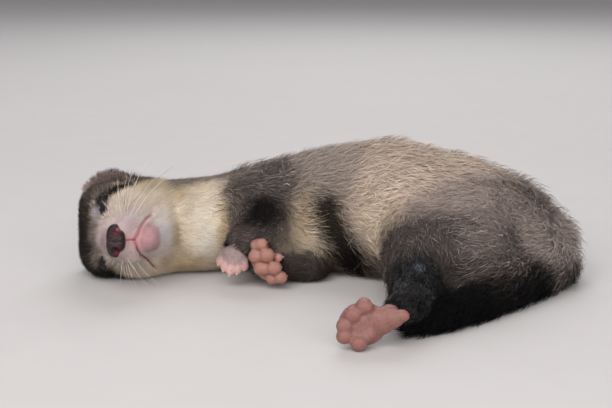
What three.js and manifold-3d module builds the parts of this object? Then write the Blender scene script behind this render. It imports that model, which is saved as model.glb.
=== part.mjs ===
// A young ferret asleep on its right side, life size, as a still museum model.
// Millimetres, +Z up. The head is at -X, the belly faces -Y, the floor is Z = 0.
// The flesh is one field, a smooth union of tapered limbs and ellipsoids. It is turned into
// closed surfaces and parted into named pieces by thin cuts. The surface is the coat's outside.
import * as THREE from "three";
import { mergeVertices } from "three/addons/utils/BufferGeometryUtils.js";
import Module from "manifold-3d";

const wasm = await Module();
wasm.setup();

// Driving dimensions
const gap = 0.32; // left between two pieces that touch
const sink = 1.2; // how far the soft body is pressed flat on the floor
const headTurn = 3; // degrees that the nose points past the viewer, towards the crown's side
const headTilt = 6; // degrees that the nose is lifted from the floor
const headCentre = [-65.1, 2.9, 18.6];
const noseReach = 25; // from the head's centre to the middle of the nose pad
const eyeSpread = 11.6;
const earReach = 16; // from the head's mid plane to the middle of the ear
const tailRadius = 6.4;
const clawLength = 2.8;
const clawRadius = 0.6;

// Sizes of the mesh that each field is turned into
const faceCell = 1.45;
const noseCell = 1.1;
const pawCell = 1.7;
const legCell = 4.2;
const trunkCell = 6.2;
const cutCell = 5;
const pawCutCell = 3;
const shortEdge = 0.3; // edges shorter than this are drawn together after a cut

const colours = {
  sable: [0.22, 0.2, 0.18],
  grizzle: [0.47, 0.42, 0.37],
  cream: [0.78, 0.7, 0.58],
  mask: [0.52, 0.46, 0.4],
  black: [0.07, 0.065, 0.06],
  bareSkin: [0.78, 0.5, 0.45],
  nosePad: [0.26, 0.12, 0.11],
};

// Fields: each takes a point and gives about its distance from the surface, below 0 inside.

function smoothMin(a, b, blend) {
  const h = Math.max(blend - Math.abs(a - b), 0) / blend;
  return Math.min(a, b) - (h * h * blend) / 4;
}

const join = (blend, fields) => (x, y, z) =>
  fields.reduce((d, field) => smoothMin(d, field(x, y, z), blend), 1e3);

const carve = (blend, field, tool) => (x, y, z) =>
  -smoothMin(-field(x, y, z), tool(x, y, z), blend);

const grow = (amount, field) => (x, y, z) => field(x, y, z) - amount;

// Evens out a field's slope, so that growing it moves its surface by the same amount all over.
const evened = (field, step = 0.5) => (x, y, z) => {
  const d = field(x, y, z);
  const rise = [field(x + step, y, z), field(x, y + step, z), field(x, y, z + step)];
  const slope = Math.hypot(...rise.map((value) => (value - d) / step));
  return d / Math.max(slope, 0.25);
};

const ellipsoid = (centre, radii) => (x, y, z) => {
  const u = (x - centre[0]) / radii[0];
  const v = (y - centre[1]) / radii[1];
  const w = (z - centre[2]) / radii[2];
  const outer = Math.hypot(u, v, w);
  const slope = Math.hypot(u / radii[0], v / radii[1], w / radii[2]);
  return slope < 1e-9 ? -Math.min(...radii) : (outer * (outer - 1)) / slope;
};

// A tapered limb through stations of x, y, z and radius.
function limb(stations, blend = 3) {
  const bones = stations.slice(1).map((end, i) => {
    const start = stations[i];
    const along = [0, 1, 2].map((k) => end[k] - start[k]);
    return { start, along, grow: end[3] - start[3], square: along.reduce((s, a) => s + a * a, 0) };
  });
  const distance = (bone, x, y, z) => {
    const [px, py, pz] = [x - bone.start[0], y - bone.start[1], z - bone.start[2]];
    const [ax, ay, az] = bone.along;
    const t = THREE.MathUtils.clamp((px * ax + py * ay + pz * az) / bone.square, 0, 1);
    return Math.hypot(px - t * ax, py - t * ay, pz - t * az) - bone.start[3] - t * bone.grow;
  };
  return (x, y, z) => bones.reduce((d, bone) => smoothMin(d, distance(bone, x, y, z), blend), 1e3);
}

// Puts a field that is written in a local frame into the body's frame.
function placed(frame, field) {
  const back = frame.clone().invert().elements;
  return (x, y, z) =>
    field(
      back[0] * x + back[4] * y + back[8] * z + back[12],
      back[1] * x + back[5] * y + back[9] * z + back[13],
      back[2] * x + back[6] * y + back[10] * z + back[14],
    );
}

// A frame from its origin, its first axis and about its third; the second completes it.
function frameOf(origin, ahead, facing) {
  const a = new THREE.Vector3(...ahead).normalize();
  const b = new THREE.Vector3(...facing).cross(a).normalize();
  const c = new THREE.Vector3().crossVectors(a, b);
  return new THREE.Matrix4().makeBasis(a, b, c).setPosition(...origin);
}

// Surfaces: a field's zero surface as a closed mesh, with one vertex for each crossed cell.

function surface(field, box, cell) {
  const size = box.getSize(new THREE.Vector3());
  const [nx, ny, nz] = [size.x, size.y, size.z].map((s) => Math.ceil(s / cell) + 3);
  const at = (i, j, k) => (k * ny + j) * nx + i;
  const low = box.min.clone().subScalar(cell);
  const values = new Float32Array(nx * ny * nz);
  for (let k = 0; k < nz; k++)
    for (let j = 0; j < ny; j++)
      for (let i = 0; i < nx; i++) {
        const edge = i === 0 || j === 0 || k === 0 || i === nx - 1 || j === ny - 1 || k === nz - 1;
        const d = field(low.x + i * cell, low.y + j * cell, low.z + k * cell);
        values[at(i, j, k)] = edge ? Math.max(d, cell / 2) : d;
      }
  const steps = [[1, 0, 0], [0, 1, 0], [0, 0, 1]];
  const corners = [0, 1, 2, 3, 4, 5, 6, 7].map((c) => [c & 1, (c >> 1) & 1, (c >> 2) & 1]);
  const positions = [];
  const vertexOf = new Int32Array(nx * ny * nz).fill(-1);
  for (let k = 0; k < nz - 1; k++)
    for (let j = 0; j < ny - 1; j++)
      for (let i = 0; i < nx - 1; i++) {
        const sum = [0, 0, 0];
        let crossed = 0;
        for (const c of corners)
          for (let axis = 0; axis < 3; axis++) {
            if (c[axis]) continue;
            const s = steps[axis];
            const a = values[at(i + c[0], j + c[1], k + c[2])];
            const b = values[at(i + c[0] + s[0], j + c[1] + s[1], k + c[2] + s[2])];
            if (a < 0 === b < 0) continue;
            const t = a / (a - b);
            for (let n = 0; n < 3; n++) sum[n] += c[n] + s[n] * t;
            crossed++;
          }
        if (!crossed) continue;
        vertexOf[at(i, j, k)] = positions.length / 3;
        positions.push(
          low.x + (i + sum[0] / crossed) * cell,
          low.y + (j + sum[1] / crossed) * cell,
          low.z + (k + sum[2] / crossed) * cell,
        );
      }
  const index = [];
  const spread = (a, b) =>
    Math.hypot(...[0, 1, 2].map((n) => positions[3 * a + n] - positions[3 * b + n]));
  for (let k = 0; k < nz - 1; k++)
    for (let j = 0; j < ny - 1; j++)
      for (let i = 0; i < nx - 1; i++)
        for (let axis = 0; axis < 3; axis++) {
          const s = steps[axis];
          const inside = values[at(i, j, k)] < 0;
          if (inside === values[at(i + s[0], j + s[1], k + s[2])] < 0) continue;
          const u = steps[(axis + 1) % 3];
          const v = steps[(axis + 2) % 3];
          const quad = [[1, 1], [0, 1], [0, 0], [1, 0]].map(([p, q]) => {
            const back = [0, 1, 2].map((n) => p * u[n] + q * v[n]);
            return vertexOf[at(i - back[0], j - back[1], k - back[2])];
          });
          if (inside) quad.reverse();
          const [a, b, c, d] = quad;
          if (spread(a, c) < spread(b, d)) index.push(a, c, b, a, d, c);
          else index.push(a, d, b, b, d, c);
        }
  const geometry = new THREE.BufferGeometry();
  geometry.setAttribute("position", new THREE.Float32BufferAttribute(positions, 3));
  return geometry.setIndex(index);
}

// Solids: closed meshes that are joined and cut.

function solidOf(geometry) {
  const bare = geometry.clone();
  bare.deleteAttribute("normal");
  bare.deleteAttribute("uv");
  const merged = mergeVertices(bare, 1e-4);
  const solid = new wasm.Manifold(
    new wasm.Mesh({
      numProp: 3,
      vertProperties: merged.attributes.position.array,
      triVerts: new Uint32Array(merged.index.array),
    }),
  );
  return solid;
}

function geometryOf(solid) {
  const mesh = solid.getMesh();
  const geometry = new THREE.BufferGeometry();
  geometry.setAttribute("position", new THREE.BufferAttribute(mesh.vertProperties, 3));
  geometry.setIndex(new THREE.BufferAttribute(mesh.triVerts, 1));
  return geometry;
}

// Where two folds of one skin only touch, each is drawn back towards its own neighbours
function drawApart(points, faces, share = 0.12) {
  const neighbours = points.map(() => new Set());
  for (const face of faces) for (const v of face) for (const other of face) neighbours[v].add(other);
  const places = new Map();
  neighbours.forEach((near, v) => {
    if (near.size === 0) return;
    const key = points[v].toArray().map((value) => value.toFixed(3)).join();
    places.set(key, [...(places.get(key) ?? []), v]);
  });
  const moves = [...places.values()].filter((twins) => twins.length > 1).flat().map((v) => {
    const mean = new THREE.Vector3();
    for (const other of neighbours[v]) mean.addScaledVector(points[other], 1 / neighbours[v].size);
    return { v, to: points[v].clone().lerp(mean, share) };
  });
  for (const { v, to } of moves) points[v] = to;
}

// Draws the ends of each short edge together, and so clears the slivers along a cut
function cleared(geometry, passes = 4) {
  const source = geometry.attributes.position;
  const points = Array.from({ length: source.count }, (_, i) =>
    new THREE.Vector3().fromBufferAttribute(source, i),
  );
  const index = geometry.index.array;
  let faces = Array.from({ length: index.length / 3 }, (_, f) => [...index.slice(3 * f, 3 * f + 3)]);
  const normal = (corners) => {
    const [a, b, c] = corners;
    return b.clone().sub(a).cross(c.clone().sub(a));
  };
  for (let pass = 0; pass < passes; pass++) {
    const around = points.map(() => []);
    faces.forEach((face, f) => face.forEach((v) => around[v].push(f)));
    const edges = [];
    for (const face of faces)
      for (let k = 0; k < 3; k++) {
        const [a, b] = [face[k], face[(k + 1) % 3]];
        const length = points[a].distanceTo(points[b]);
        if (a < b && length < shortEdge) edges.push({ a, b, length });
      }
    edges.sort((one, other) => one.length - other.length);
    const settled = new Set();
    const gone = new Set();
    const ring = (v) => new Set(around[v].flatMap((f) => faces[f]));
    for (const { a, b } of edges) {
      if (settled.has(a) || settled.has(b)) continue;
      const [ringA, ringB] = [ring(a), ring(b)];
      const shared = [...ringA].filter((v) => ringB.has(v));
      if (shared.length !== 4) continue;
      const middle = points[a].clone().lerp(points[b], 0.5);
      const moved = [...around[a], ...around[b]].filter(
        (f) => !(faces[f].includes(a) && faces[f].includes(b)),
      );
      const flips = moved.some((f) => {
        const before = normal(faces[f].map((v) => points[v]));
        const after = normal(faces[f].map((v) => (v === a || v === b ? middle : points[v])));
        return before.length() > 1e-3 && before.dot(after) < 0.4 * before.length() * after.length();
      });
      if (flips) continue;
      points[a] = middle;
      for (const f of around[b])
        if (faces[f].includes(a)) gone.add(f);
        else faces[f] = faces[f].map((v) => (v === b ? a : v));
      for (const v of [...ringA, ...ringB]) settled.add(v);
    }
    faces = faces.filter((face, f) => !gone.has(f));
  }
  drawApart(points, faces);
  const tidy = new THREE.BufferGeometry().setFromPoints(points);
  return mergeVertices(tidy.setIndex(faces.flat()).toNonIndexed(), 1e-5);
}

const largest = (solid) =>
  solid.decompose().reduce((best, body) => (body.volume() > best.volume() ? body : best));

const boxAt = (low, high) => new THREE.Box3(new THREE.Vector3(...low), new THREE.Vector3(...high));

// A block that fills the far side of a plane, whose normal points into the block.
function beyond(point, normal, offset = 0, reach = 300) {
  const n = new THREE.Vector3(...normal).normalize();
  const block = new THREE.BoxGeometry(reach, reach, reach);
  block.applyQuaternion(new THREE.Quaternion().setFromUnitVectors(new THREE.Vector3(0, 0, 1), n));
  const middle = new THREE.Vector3(...point).addScaledVector(n, offset + reach / 2);
  return solidOf(block.translate(middle.x, middle.y, middle.z));
}

// Head, in its own frame: ahead to the nose, up to the crown, and to the animal's left

const turn = THREE.MathUtils.degToRad(headTurn);
const tilt = THREE.MathUtils.degToRad(headTilt);
const ahead = new THREE.Vector3(
  -Math.sin(turn) * Math.cos(tilt),
  -Math.cos(turn) * Math.cos(tilt),
  Math.sin(tilt),
);
const crownward = new THREE.Vector3(-Math.cos(turn), Math.sin(turn), 0);
const leftward = new THREE.Vector3().crossVectors(crownward, ahead);
const headFrame = new THREE.Matrix4()
  .makeBasis(ahead, crownward, leftward)
  .setPosition(...headCentre);
const inHead = (point) => new THREE.Vector3(...point).applyMatrix4(headFrame).toArray();

const bothSides = (make) => [1, -1].map(make);

function headField() {
  const forms = join(5, [
    ellipsoid([-7, 1.5, 0], [19, 17, 16.8]),
    ...bothSides((side) => ellipsoid([-4, 8.5, side * 9.5], [14, 9, 8.5])),
    ...bothSides((side) => ellipsoid([-1, -4, side * 8.2], [12.5, 10, 9.6])),
    ellipsoid([11, -3.8, 0], [12.5, 8.6, 9.2]),
    limb([[2, 6, 0, 8.5], [20, 0.8, 0, 4.6]]),
    limb([[0, -11.5, 0, 7], [16.2, -11.4, 0, 4.2]]),
  ]);
  const soft = join(1.6, [
    forms,
    ...bothSides((side) => ellipsoid([17.4, -4.8, side * 4.3], [6, 4.6, 4.8])),
    ellipsoid([18.4, -11.2, 0], [3.2, 3.4, 4.6]),
    ...bothSides((side) => ellipsoid([9, 6, side * (eyeSpread - 1.6)], [4.2, 3.1, 3])),
  ]);
  const mouth = join(1, [
    limb([[24.6, -4.6, 0, 0.7], [23.2, -8.2, 0, 0.8]], 1),
    ...bothSides((side) => limb(
      [
        [23.2, -8.2, 0, 0.9],
        [19.6, -9.2, side * 4.6, 0.9],
        [14, -10, side * 8.4, 0.9],
        [8.5, -10.4, side * 10.8, 0.7],
      ],
      1,
    )),
  ]);
  const slits = join(1, bothSides((side) => limb(
    [
      [12.6, 6.4, side * (eyeSpread - 3.8), 0.7],
      [10.8, 5.4, side * (eyeSpread + 0.2), 0.8],
      [7.4, 5.2, side * (eyeSpread + 2.4), 0.7],
    ],
    1,
  )));
  return carve(0.8, carve(0.8, soft, mouth), slits);
}

function noseField() {
  const pad = join(2, [
    ellipsoid([0, 1, 0], [3.4, 2.6, 5.6]),
    ellipsoid([0.4, -1.6, 0], [3.2, 2.4, 3.4]),
  ]);
  const nostrils = join(0.6, bothSides((side) =>
    limb([[3.4, -0.6, side * 2.6, 1], [2.4, -0.9, side * 4.2, 0.9], [0.4, -1.6, side * 5.6, 0.6]], 1),
  ));
  const groove = limb([[3.9, 2.4, 0, 0.5], [3.9, -3.2, 0, 0.5]], 0.6);
  const cut = carve(0.6, carve(0.8, pad, nostrils), groove);
  return (x, y, z) => cut(x - noseReach, y + 1, z);
}

// Trunk

const neck = limb([[-58, 12, 17.6, 16.6], [-42, 15, 17.2, 16.4], [-26, 20, 17.6, 17]], 8);
const trunk = limb(
  [
    [-24, 21, 17.6, 17.2],
    [-8, 23.5, 19.6, 19.6],
    [12, 23, 21.6, 22.6],
    [32, 20, 23, 24.2],
    [54, 13, 21, 22],
    [73, 7, 17.2, 17.8],
    [85, 3, 13, 13.4],
  ],
  8,
);
const belly = ellipsoid([34, 8, 18.4], [26, 18, 19.4]);
const groin = ellipsoid([66, -12, 9], [18, 13, 9]);

// Limbs, each from the body outwards

const thigh = ellipsoid([54.4, -25, 21.2], [19, 14, 12.5]);
const hindLegLeft = join(5, [
  thigh,
  limb(
    [
      [73, 0, 19.5, 16],
      [57, -9, 22.5, 15.6],
      [38, -19, 21.5, 11.8],
      [36, -33, 17.5, 10.2],
      [35, -48, 14, 8.2],
      [32.5, -61.5, 12, 6],
      [27, -70, 11, 5],
    ],
    5,
  ),
]);
const hindLegRight = limb(
  [
    [70, -1, 11, 11.5],
    [52, -12, 9.5, 10.5],
    [43, -17, 8.4, 8.8],
    [55, -25.5, 6.4, 6.2],
    [50, -30, 5.4, 5],
  ],
  4,
);
const foreLegLeft = limb(
  [
    [-23, 13, 23.4, 11.6],
    [-16, 3, 22.4, 9.6],
    [-13.5, -3, 20.2, 7.8],
    [-21.5, -7.5, 17.4, 6],
    [-25, -9, 14.8, 5.2],
  ],
  3,
);
const foreLegRight = limb(
  [
    [-14, 14, 9.5, 10],
    [0, 3, 7, 7.4],
    [2, -2.5, 6.6, 6.4],
    [-8, -5.5, 8.2, 5.6],
    [-14, -7.5, 9.6, 5.2],
  ],
  3,
);
const tail = limb(
  [
    [87, 0, 10, 9.6],
    [88, -9, 8.4, 7.8],
    [80, -20, 6.8, tailRadius + 0.4],
    [69.5, -31.5, 6.2, tailRadius + 0.2],
    [57, -43.5, 5.8, tailRadius],
    [45, -54, 5.4, tailRadius - 0.6],
    [34, -62.5, 4.8, tailRadius - 2.4],
  ],
  3,
);

// Paws: ahead to the toes, across from the first toe to the fifth, and out of the sole

function pawField(paw) {
  const { length, width, thick, toe, fan, curl } = paw;
  const toes = [-2, -1, 0, 1, 2].map((n) => {
    const angle = THREE.MathUtils.degToRad(n * fan);
    const reach = toe * (1 - 0.09 * n * n + 0.03 * n);
    const root = [length * 0.18 - 0.5 * Math.abs(n), n * width * 0.19, 0];
    const tip = [root[0] + reach * Math.cos(angle), root[1] + reach * Math.sin(angle), curl];
    return { root, tip, angle };
  });
  const pads = toes.map(({ tip }) => ellipsoid([tip[0] - 0.3, tip[1], tip[2] + 1], [2.1, 1.8, 1.7]));
  const balls = [-1, 0, 1].map((n) =>
    ellipsoid([length * 0.12 - 1.6 * Math.abs(n), n * width * 0.23, thick * 0.34], [2.7, 2.3, 2]),
  );
  const fingers = toes.map(({ root, tip }) => limb([[...root, 2.3], [...tip, 2]]));
  const field = join(0.9, [
    ellipsoid([0, 0, 0], [length / 2, width / 2, thick / 2]),
    limb([[0, 0, 0, thick * 0.42], [-length * 0.7, 0, -0.4, thick * 0.46]]),
    ...balls,
    ...fingers,
    ...pads,
  ]);
  const clawsWith = (spare) => toes.map(({ tip, angle }) => {
    const cone = new THREE.ConeGeometry(clawRadius + spare, clawLength + 4 * spare, 6);
    cone.rotateZ(-Math.PI / 2).translate(clawLength / 2 + 0.5, 0, 0);
    cone.rotateY(0.35).rotateZ(angle).translate(tip[0], tip[1], tip[2] - 0.4);
    return solidOf(cone.applyMatrix4(paw.frame));
  });
  return { field: placed(paw.frame, field), claws: clawsWith(0), sheaths: clawsWith(gap) };
}

const paws = {
  forepaw_right: {
    frame: frameOf([-13.6, -12.4, 10.2], [0.78, -0.25, 0.5], [0.05, -0.95, 0.1]),
    length: 8.4, width: 15, thick: 7, toe: 5.4, fan: 8, curl: 1.2,
  },
  forepaw_left: {
    frame: frameOf([-26, -10.6, 11.2], [-0.3, -0.5, -0.8], [0.15, 0.8, -0.55]),
    length: 9.5, width: 10.5, thick: 6.6, toe: 5.6, fan: 12, curl: 1,
  },
  hindfoot_left: {
    frame: frameOf([20.5, -71.5, 9.4], [-0.94, -0.26, -0.2], [-0.26, -0.94, 0.1]),
    length: 15, width: 13.5, thick: 7.5, toe: 7, fan: 20, curl: 0.8,
  },
  hindfoot_right: {
    frame: frameOf([46.5, -31, 4.2], [-0.95, -0.3, 0], [-0.1, -0.2, -0.9]),
    length: 16, width: 10, thick: 5.6, toe: 6, fan: 9, curl: 0.4, cell: 2.1,
  },
};
for (const paw of Object.values(paws)) Object.assign(paw, pawField(paw));

// Ears: a thin bowl from a sphere whose two halves lie close together

function earGeometry(shape) {
  const ear = new THREE.SphereGeometry(1, 18, 10);
  const p = ear.attributes.position;
  for (let i = 0; i < p.count; i++) {
    const [x, y, z] = [p.getX(i), p.getY(i), p.getZ(i)];
    const round = x * x + y * y;
    const bowl = shape.depth * (round - 1);
    const notch = 1 - 0.1 * Math.max(0, -y);
    const rim = shape.thick * 0.5 * (1.25 - 0.45 * round);
    p.setXYZ(i, x * shape.width * 0.5 * notch, y * shape.height * 0.5, bowl + z * rim);
  }
  return ear.applyMatrix4(shape.frame);
}

const ears = {
  ear_left: {
    frame: frameOf(inHead([-6.5, 9.8, earReach]), [-1, 0.1, 0.05], [-0.1, -0.85, -0.25]),
    width: 17, height: 14.6, depth: 3.4, thick: 2.4,
  },
  ear_right: {
    frame: frameOf(inHead([-9.4, 11, -12.8]), [-0.9, 0.3, 0.15], [-0.35, -0.6, -0.6]),
    width: 15.5, height: 13, depth: 2.2, thick: 2.4,
  },
};

// The whole flesh

const head = placed(headFrame, headField());
const nose = placed(headFrame, noseField());
const legs = join(4, [hindLegLeft, hindLegRight, foreLegLeft, foreLegRight]);
const body = join(9, [join(7, [head, neck]), join(9, [trunk, belly, groin])]);
const bodyAndLimbs = join(3, [join(4, [body, legs]), tail]);
const flesh = join(1.6, [bodyAndLimbs, ...Object.values(paws).map((paw) => paw.field)]);

// Regions that part the flesh: each as a solid, and again grown by the gap for what it meets

function region(field, box, cell) {
  const inner = solidOf(surface(field, box, cell));
  return { inner, outer: inner.add(solidOf(surface(grow(gap, field), box, cell))) };
}

const boxes = {
  face: boxAt([-88, -27, 0], [-40, 8, 40]),
  nape: boxAt([-90, -10, 0], [-36, 36, 42]),
  trunk: boxAt([-66, -40, -1], [108, 56, 56]),
  hindleg_left: boxAt([12, -76, -1], [104, 26, 54]),
  hindleg_right: boxAt([20, -50, -1], [106, 34, 42]),
  foreleg_left: boxAt([-42, -24, 0], [8, 36, 46]),
  foreleg_right: boxAt([-34, -24, -1], [18, 36, 26]),
  tail: boxAt([24, -72, -1], [106, 18, 28]),
};

const limbs = {
  hindleg_left: hindLegLeft,
  hindleg_right: hindLegRight,
  foreleg_left: foreLegLeft,
  foreleg_right: foreLegRight,
  tail,
};
const limbMargin = 0.8; // how far a limb's cut lies past its crease with the trunk

// A limb's region is where it is nearer than the trunk and the limbs that are cut after it
function limbRegion(name) {
  const names = Object.keys(limbs);
  const rest = [body, ...names.slice(names.indexOf(name) + 1).map((later) => limbs[later])];
  const field = (x, y, z) => {
    const nearest = Math.min(...rest.map((other) => other(x, y, z)));
    return (limbs[name](x, y, z) - nearest) / 2 - limbMargin;
  };
  return region(evened(field), boxes[name], cutCell);
}

// A paw's box, and the plane of its wrist or ankle
function pawParts(paw) {
  const middle = new THREE.Vector3().setFromMatrixPosition(paw.frame);
  const forward = new THREE.Vector3().setFromMatrixColumn(paw.frame, 0);
  const wrist = middle.clone().addScaledVector(forward, -0.52 * paw.length);
  const reach = paw.length * 0.6 + paw.toe + 5;
  const size = new THREE.Vector3(2, 2, 2).multiplyScalar(reach);
  const box = new THREE.Box3().setFromCenterAndSize(middle, size);
  const { inner, outer } = region(grow(1, paw.field), box, pawCutCell);
  return {
    box,
    inner: inner.intersect(beyond(wrist.toArray(), forward.toArray())),
    outer: outer.intersect(beyond(wrist.toArray(), forward.toArray(), -gap)),
  };
}

const floor = beyond([0, 0, sink], [0, 0, -1]);
const cutAll = (solid, tools) => tools.reduce((rest, tool) => rest.subtract(tool), solid);
const fleshIn = (box, cell) => solidOf(surface(flesh, box, cell));

const group = new THREE.Group();

function addNode(name, solid, colour, roughness) {
  const material = new THREE.MeshStandardMaterial({
    color: new THREE.Color(...colour),
    roughness,
    metalness: 0,
  });
  const body = largest(solid.subtract(floor));
  const mesh = new THREE.Mesh(cleared(geometryOf(body)), material);
  mesh.name = name;
  group.add(mesh);
}

// Paws, with their claws sunk in the toes
const pawTools = [];
for (const [name, paw] of Object.entries(paws)) {
  const { box, inner, outer } = pawParts(paw);
  const bare = fleshIn(box, paw.cell ?? pawCell).intersect(inner);
  const joined = (solid, extra) => solid.add(extra);
  const clawed = paw.claws.reduce(joined, largest(bare));
  addNode(name, cutAll(clawed, pawTools), colours.bareSkin, 0.55);
  pawTools.push(paw.sheaths.reduce(joined, outer));
}

// Legs and tail: the upper leg of a pair is cut first, and the lower one meets it
const limbTools = [];
for (const name of Object.keys(limbs)) {
  const { inner, outer } = limbRegion(name);
  const limbSolid = fleshIn(boxes[name], legCell).intersect(inner);
  const colour = name === "tail" ? colours.black : colours.sable;
  addNode(name, cutAll(limbSolid, [...pawTools, ...limbTools]), colour, 0.9);
  limbTools.push(outer);
}

// Head: a fine face and a coarser back of the skull, joined behind the cheeks
const neckCut = { point: [-50, 8, 18], normal: [-0.89, -0.45, 0] };
const chestCut = { point: [-31, 18, 18], normal: [1, 0.1, 0] };
const faceStart = inHead([2.5, 0, 0]);
const noseBox = boxAt([-76, -32, 10], [-52, -16, 32]);
const noseSolid = solidOf(surface(nose, noseBox, noseCell));
const noseSocket = solidOf(surface(grow(gap, nose), noseBox, noseCell * 1.4));
const face = fleshIn(boxes.face, faceCell).intersect(beyond(faceStart, ahead.toArray()));
const backward = ahead.clone().negate().toArray();
const nape = fleshIn(boxes.nape, legCell).intersect(beyond(faceStart, backward, -0.05));
const headSolid = largest(
  face.add(nape).intersect(beyond(neckCut.point, neckCut.normal, gap / 2)).subtract(noseSocket),
);
addNode("head", headSolid, colours.mask, 0.9);
addNode("nose", noseSolid, colours.nosePad, 0.4);

const headGrown = solidOf(surface(grow(gap + 0.1, join(7, [head, neck])), boxes.nape, legCell));
for (const [name, shape] of Object.entries(ears))
  addNode(name, solidOf(earGeometry(shape)).subtract(headGrown), colours.mask, 0.85);

// Neck and trunk
const away = (normal) => normal.map((n) => -n);
const tools = [...pawTools, ...limbTools];
const whole = fleshIn(boxes.trunk, trunkCell);
const neckSolid = whole
  .intersect(beyond(neckCut.point, away(neckCut.normal), gap / 2))
  .intersect(beyond(chestCut.point, away(chestCut.normal), gap / 2));
addNode("neck", cutAll(neckSolid, tools), colours.cream, 0.9);
const torsoSolid = whole.intersect(beyond(chestCut.point, chestCut.normal, gap / 2));
addNode("torso", cutAll(torsoSolid, tools), colours.grizzle, 0.9);

// The origin is under the middle of the body, on the floor
const extent = new THREE.Box3().setFromObject(group);
const middle = extent.getCenter(new THREE.Vector3());
group.position.set(-middle.x, -middle.y, -sink);

export default group;
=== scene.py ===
import math

import bmesh
import bpy
import numpy as np
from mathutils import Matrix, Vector
from mathutils.bvhtree import BVHTree
from mathutils.kdtree import KDTree


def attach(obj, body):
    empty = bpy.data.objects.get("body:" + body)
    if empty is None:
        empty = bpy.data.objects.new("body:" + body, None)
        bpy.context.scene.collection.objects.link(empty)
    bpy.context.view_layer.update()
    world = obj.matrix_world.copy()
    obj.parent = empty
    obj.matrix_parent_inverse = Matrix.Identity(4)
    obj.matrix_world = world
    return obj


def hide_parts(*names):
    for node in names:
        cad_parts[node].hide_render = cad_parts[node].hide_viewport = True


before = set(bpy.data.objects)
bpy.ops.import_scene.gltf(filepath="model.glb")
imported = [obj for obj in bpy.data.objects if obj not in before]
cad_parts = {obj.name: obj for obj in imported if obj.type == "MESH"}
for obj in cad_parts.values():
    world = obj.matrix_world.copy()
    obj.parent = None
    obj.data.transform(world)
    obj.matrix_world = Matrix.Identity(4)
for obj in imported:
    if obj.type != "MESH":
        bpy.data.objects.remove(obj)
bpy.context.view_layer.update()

mm = 0.001
print("ferret: solids loaded")


def unit(v):
    v = np.asarray(v, float)
    return v / np.maximum(np.linalg.norm(v, axis=-1, keepdims=True), 1e-9)


def smoothStep(low, high, x):
    t = np.clip((x - low) / (high - low), 0, 1)
    return t * t * (3 - 2 * t)


def linear(rgb):
    c = np.asarray(rgb, float) / 255
    return np.where(c <= 0.04045, c / 12.92, ((c + 0.055) / 1.055) ** 2.4)


def tonesOf(table):
    return {label: linear(rgb) for label, rgb in table.items()}


def blend(tints, tone, amount):
    tints += (tone - tints) * amount[:, None]


def lengthOf(vectors):
    return np.linalg.norm(vectors, axis=1)


def bell(distance, width):
    return np.exp(-((distance / width) ** 2))


def keepAbove(points, gap):
    points[..., 2] = np.maximum(points[..., 2], gap)


def newObject(name, data):
    item = bpy.data.objects.new(name, data)
    bpy.context.scene.collection.objects.link(item)
    return item


# Camera

cameraSet = {"place": (-7.31, -400.84, 125.8), "pitchDown": 13.25, "lens": 70.0, "nearest": 20}


def makeCamera():
    data = bpy.data.cameras.new("viewCamera")
    data.lens = cameraSet["lens"]
    data.clip_start = cameraSet["nearest"] * mm
    camera = newObject("viewCamera", data)
    camera.location = Vector(cameraSet["place"]) * mm
    camera.rotation_euler = (math.radians(90 - cameraSet["pitchDown"]), 0, 0)
    bpy.context.scene.camera = camera


makeCamera()


# Head axes: from the middle of the head towards the nose, the crown and the left ear

headSet = {"middle": (-72.41, 18.06, 17.4), "turn": 3, "tilt": 6}
turn, tilt = math.radians(headSet["turn"]), math.radians(headSet["tilt"])
ahead = np.array([-math.sin(turn) * math.cos(tilt), -math.cos(turn) * math.cos(tilt), math.sin(tilt)])
crownward = np.array([-math.cos(turn), math.sin(turn), 0])
leftward = np.cross(crownward, ahead)
headAxes = np.array([ahead, crownward, leftward])
headMiddle = np.array(headSet["middle"])


def inHead(place):
    return headMiddle + np.asarray(place, float) @ headAxes


def headLocal(points):
    return (points - headMiddle) @ headAxes.T


def mirrored(local):
    # places in the head's axes, with its right side laid on its left
    return np.column_stack([local[:, :2], np.abs(local[:, 2])])


# Materials

def addNode(tree, kind, **settings):
    node = tree.nodes.new(kind)
    for key, value in settings.items():
        if key.startswith("in_"):
            node.inputs[key[3:].replace("_", " ")].default_value = value
        else:
            setattr(node, key, value)
    return node


def newGroup(name, inputs, outputs):
    tree = bpy.data.node_groups.new(name, "ShaderNodeTree")
    for label, value in inputs.items():
        socket = tree.interface.new_socket(label, in_out="INPUT", socket_type="NodeSocketFloat")
        socket.default_value = value
    for label, kind in outputs.items():
        tree.interface.new_socket(label, in_out="OUTPUT", socket_type=kind)
    return tree, tree.nodes.new("NodeGroupInput"), tree.nodes.new("NodeGroupOutput")


def wire(tree, *links):
    # each link: a node, its output, the next node, its input
    for source, output, target, entry in links:
        tree.links.new(source.outputs[output], target.inputs[entry])


def makeMottleGroup():
    # two sizes of soft noise, as one value about 1 that multiplies a colour
    tree, given, out = newGroup(
        "mottle", {"Coarse": 300, "Fine": 1500, "Amount": 0.2}, {"Value": "NodeSocketFloat"})
    place = addNode(tree, "ShaderNodeTexCoord")
    total = addNode(tree, "ShaderNodeMath", operation="ADD")
    for entry, label in enumerate(("Coarse", "Fine")):
        noise = addNode(tree, "ShaderNodeTexNoise", in_Detail=3)
        wire(
            tree, (place, "Object", noise, "Vector"), (given, label, noise, "Scale"),
            (noise, "Fac", total, entry))
    centred = addNode(tree, "ShaderNodeMath", operation="SUBTRACT")
    centred.inputs[1].default_value = 1
    scaled = addNode(tree, "ShaderNodeMath", operation="MULTIPLY_ADD")
    scaled.inputs[2].default_value = 1
    wire(
        tree, (total, 0, centred, 0), (centred, 0, scaled, 0), (given, "Amount", scaled, 1),
        (scaled, 0, out, "Value"))
    return tree


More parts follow.
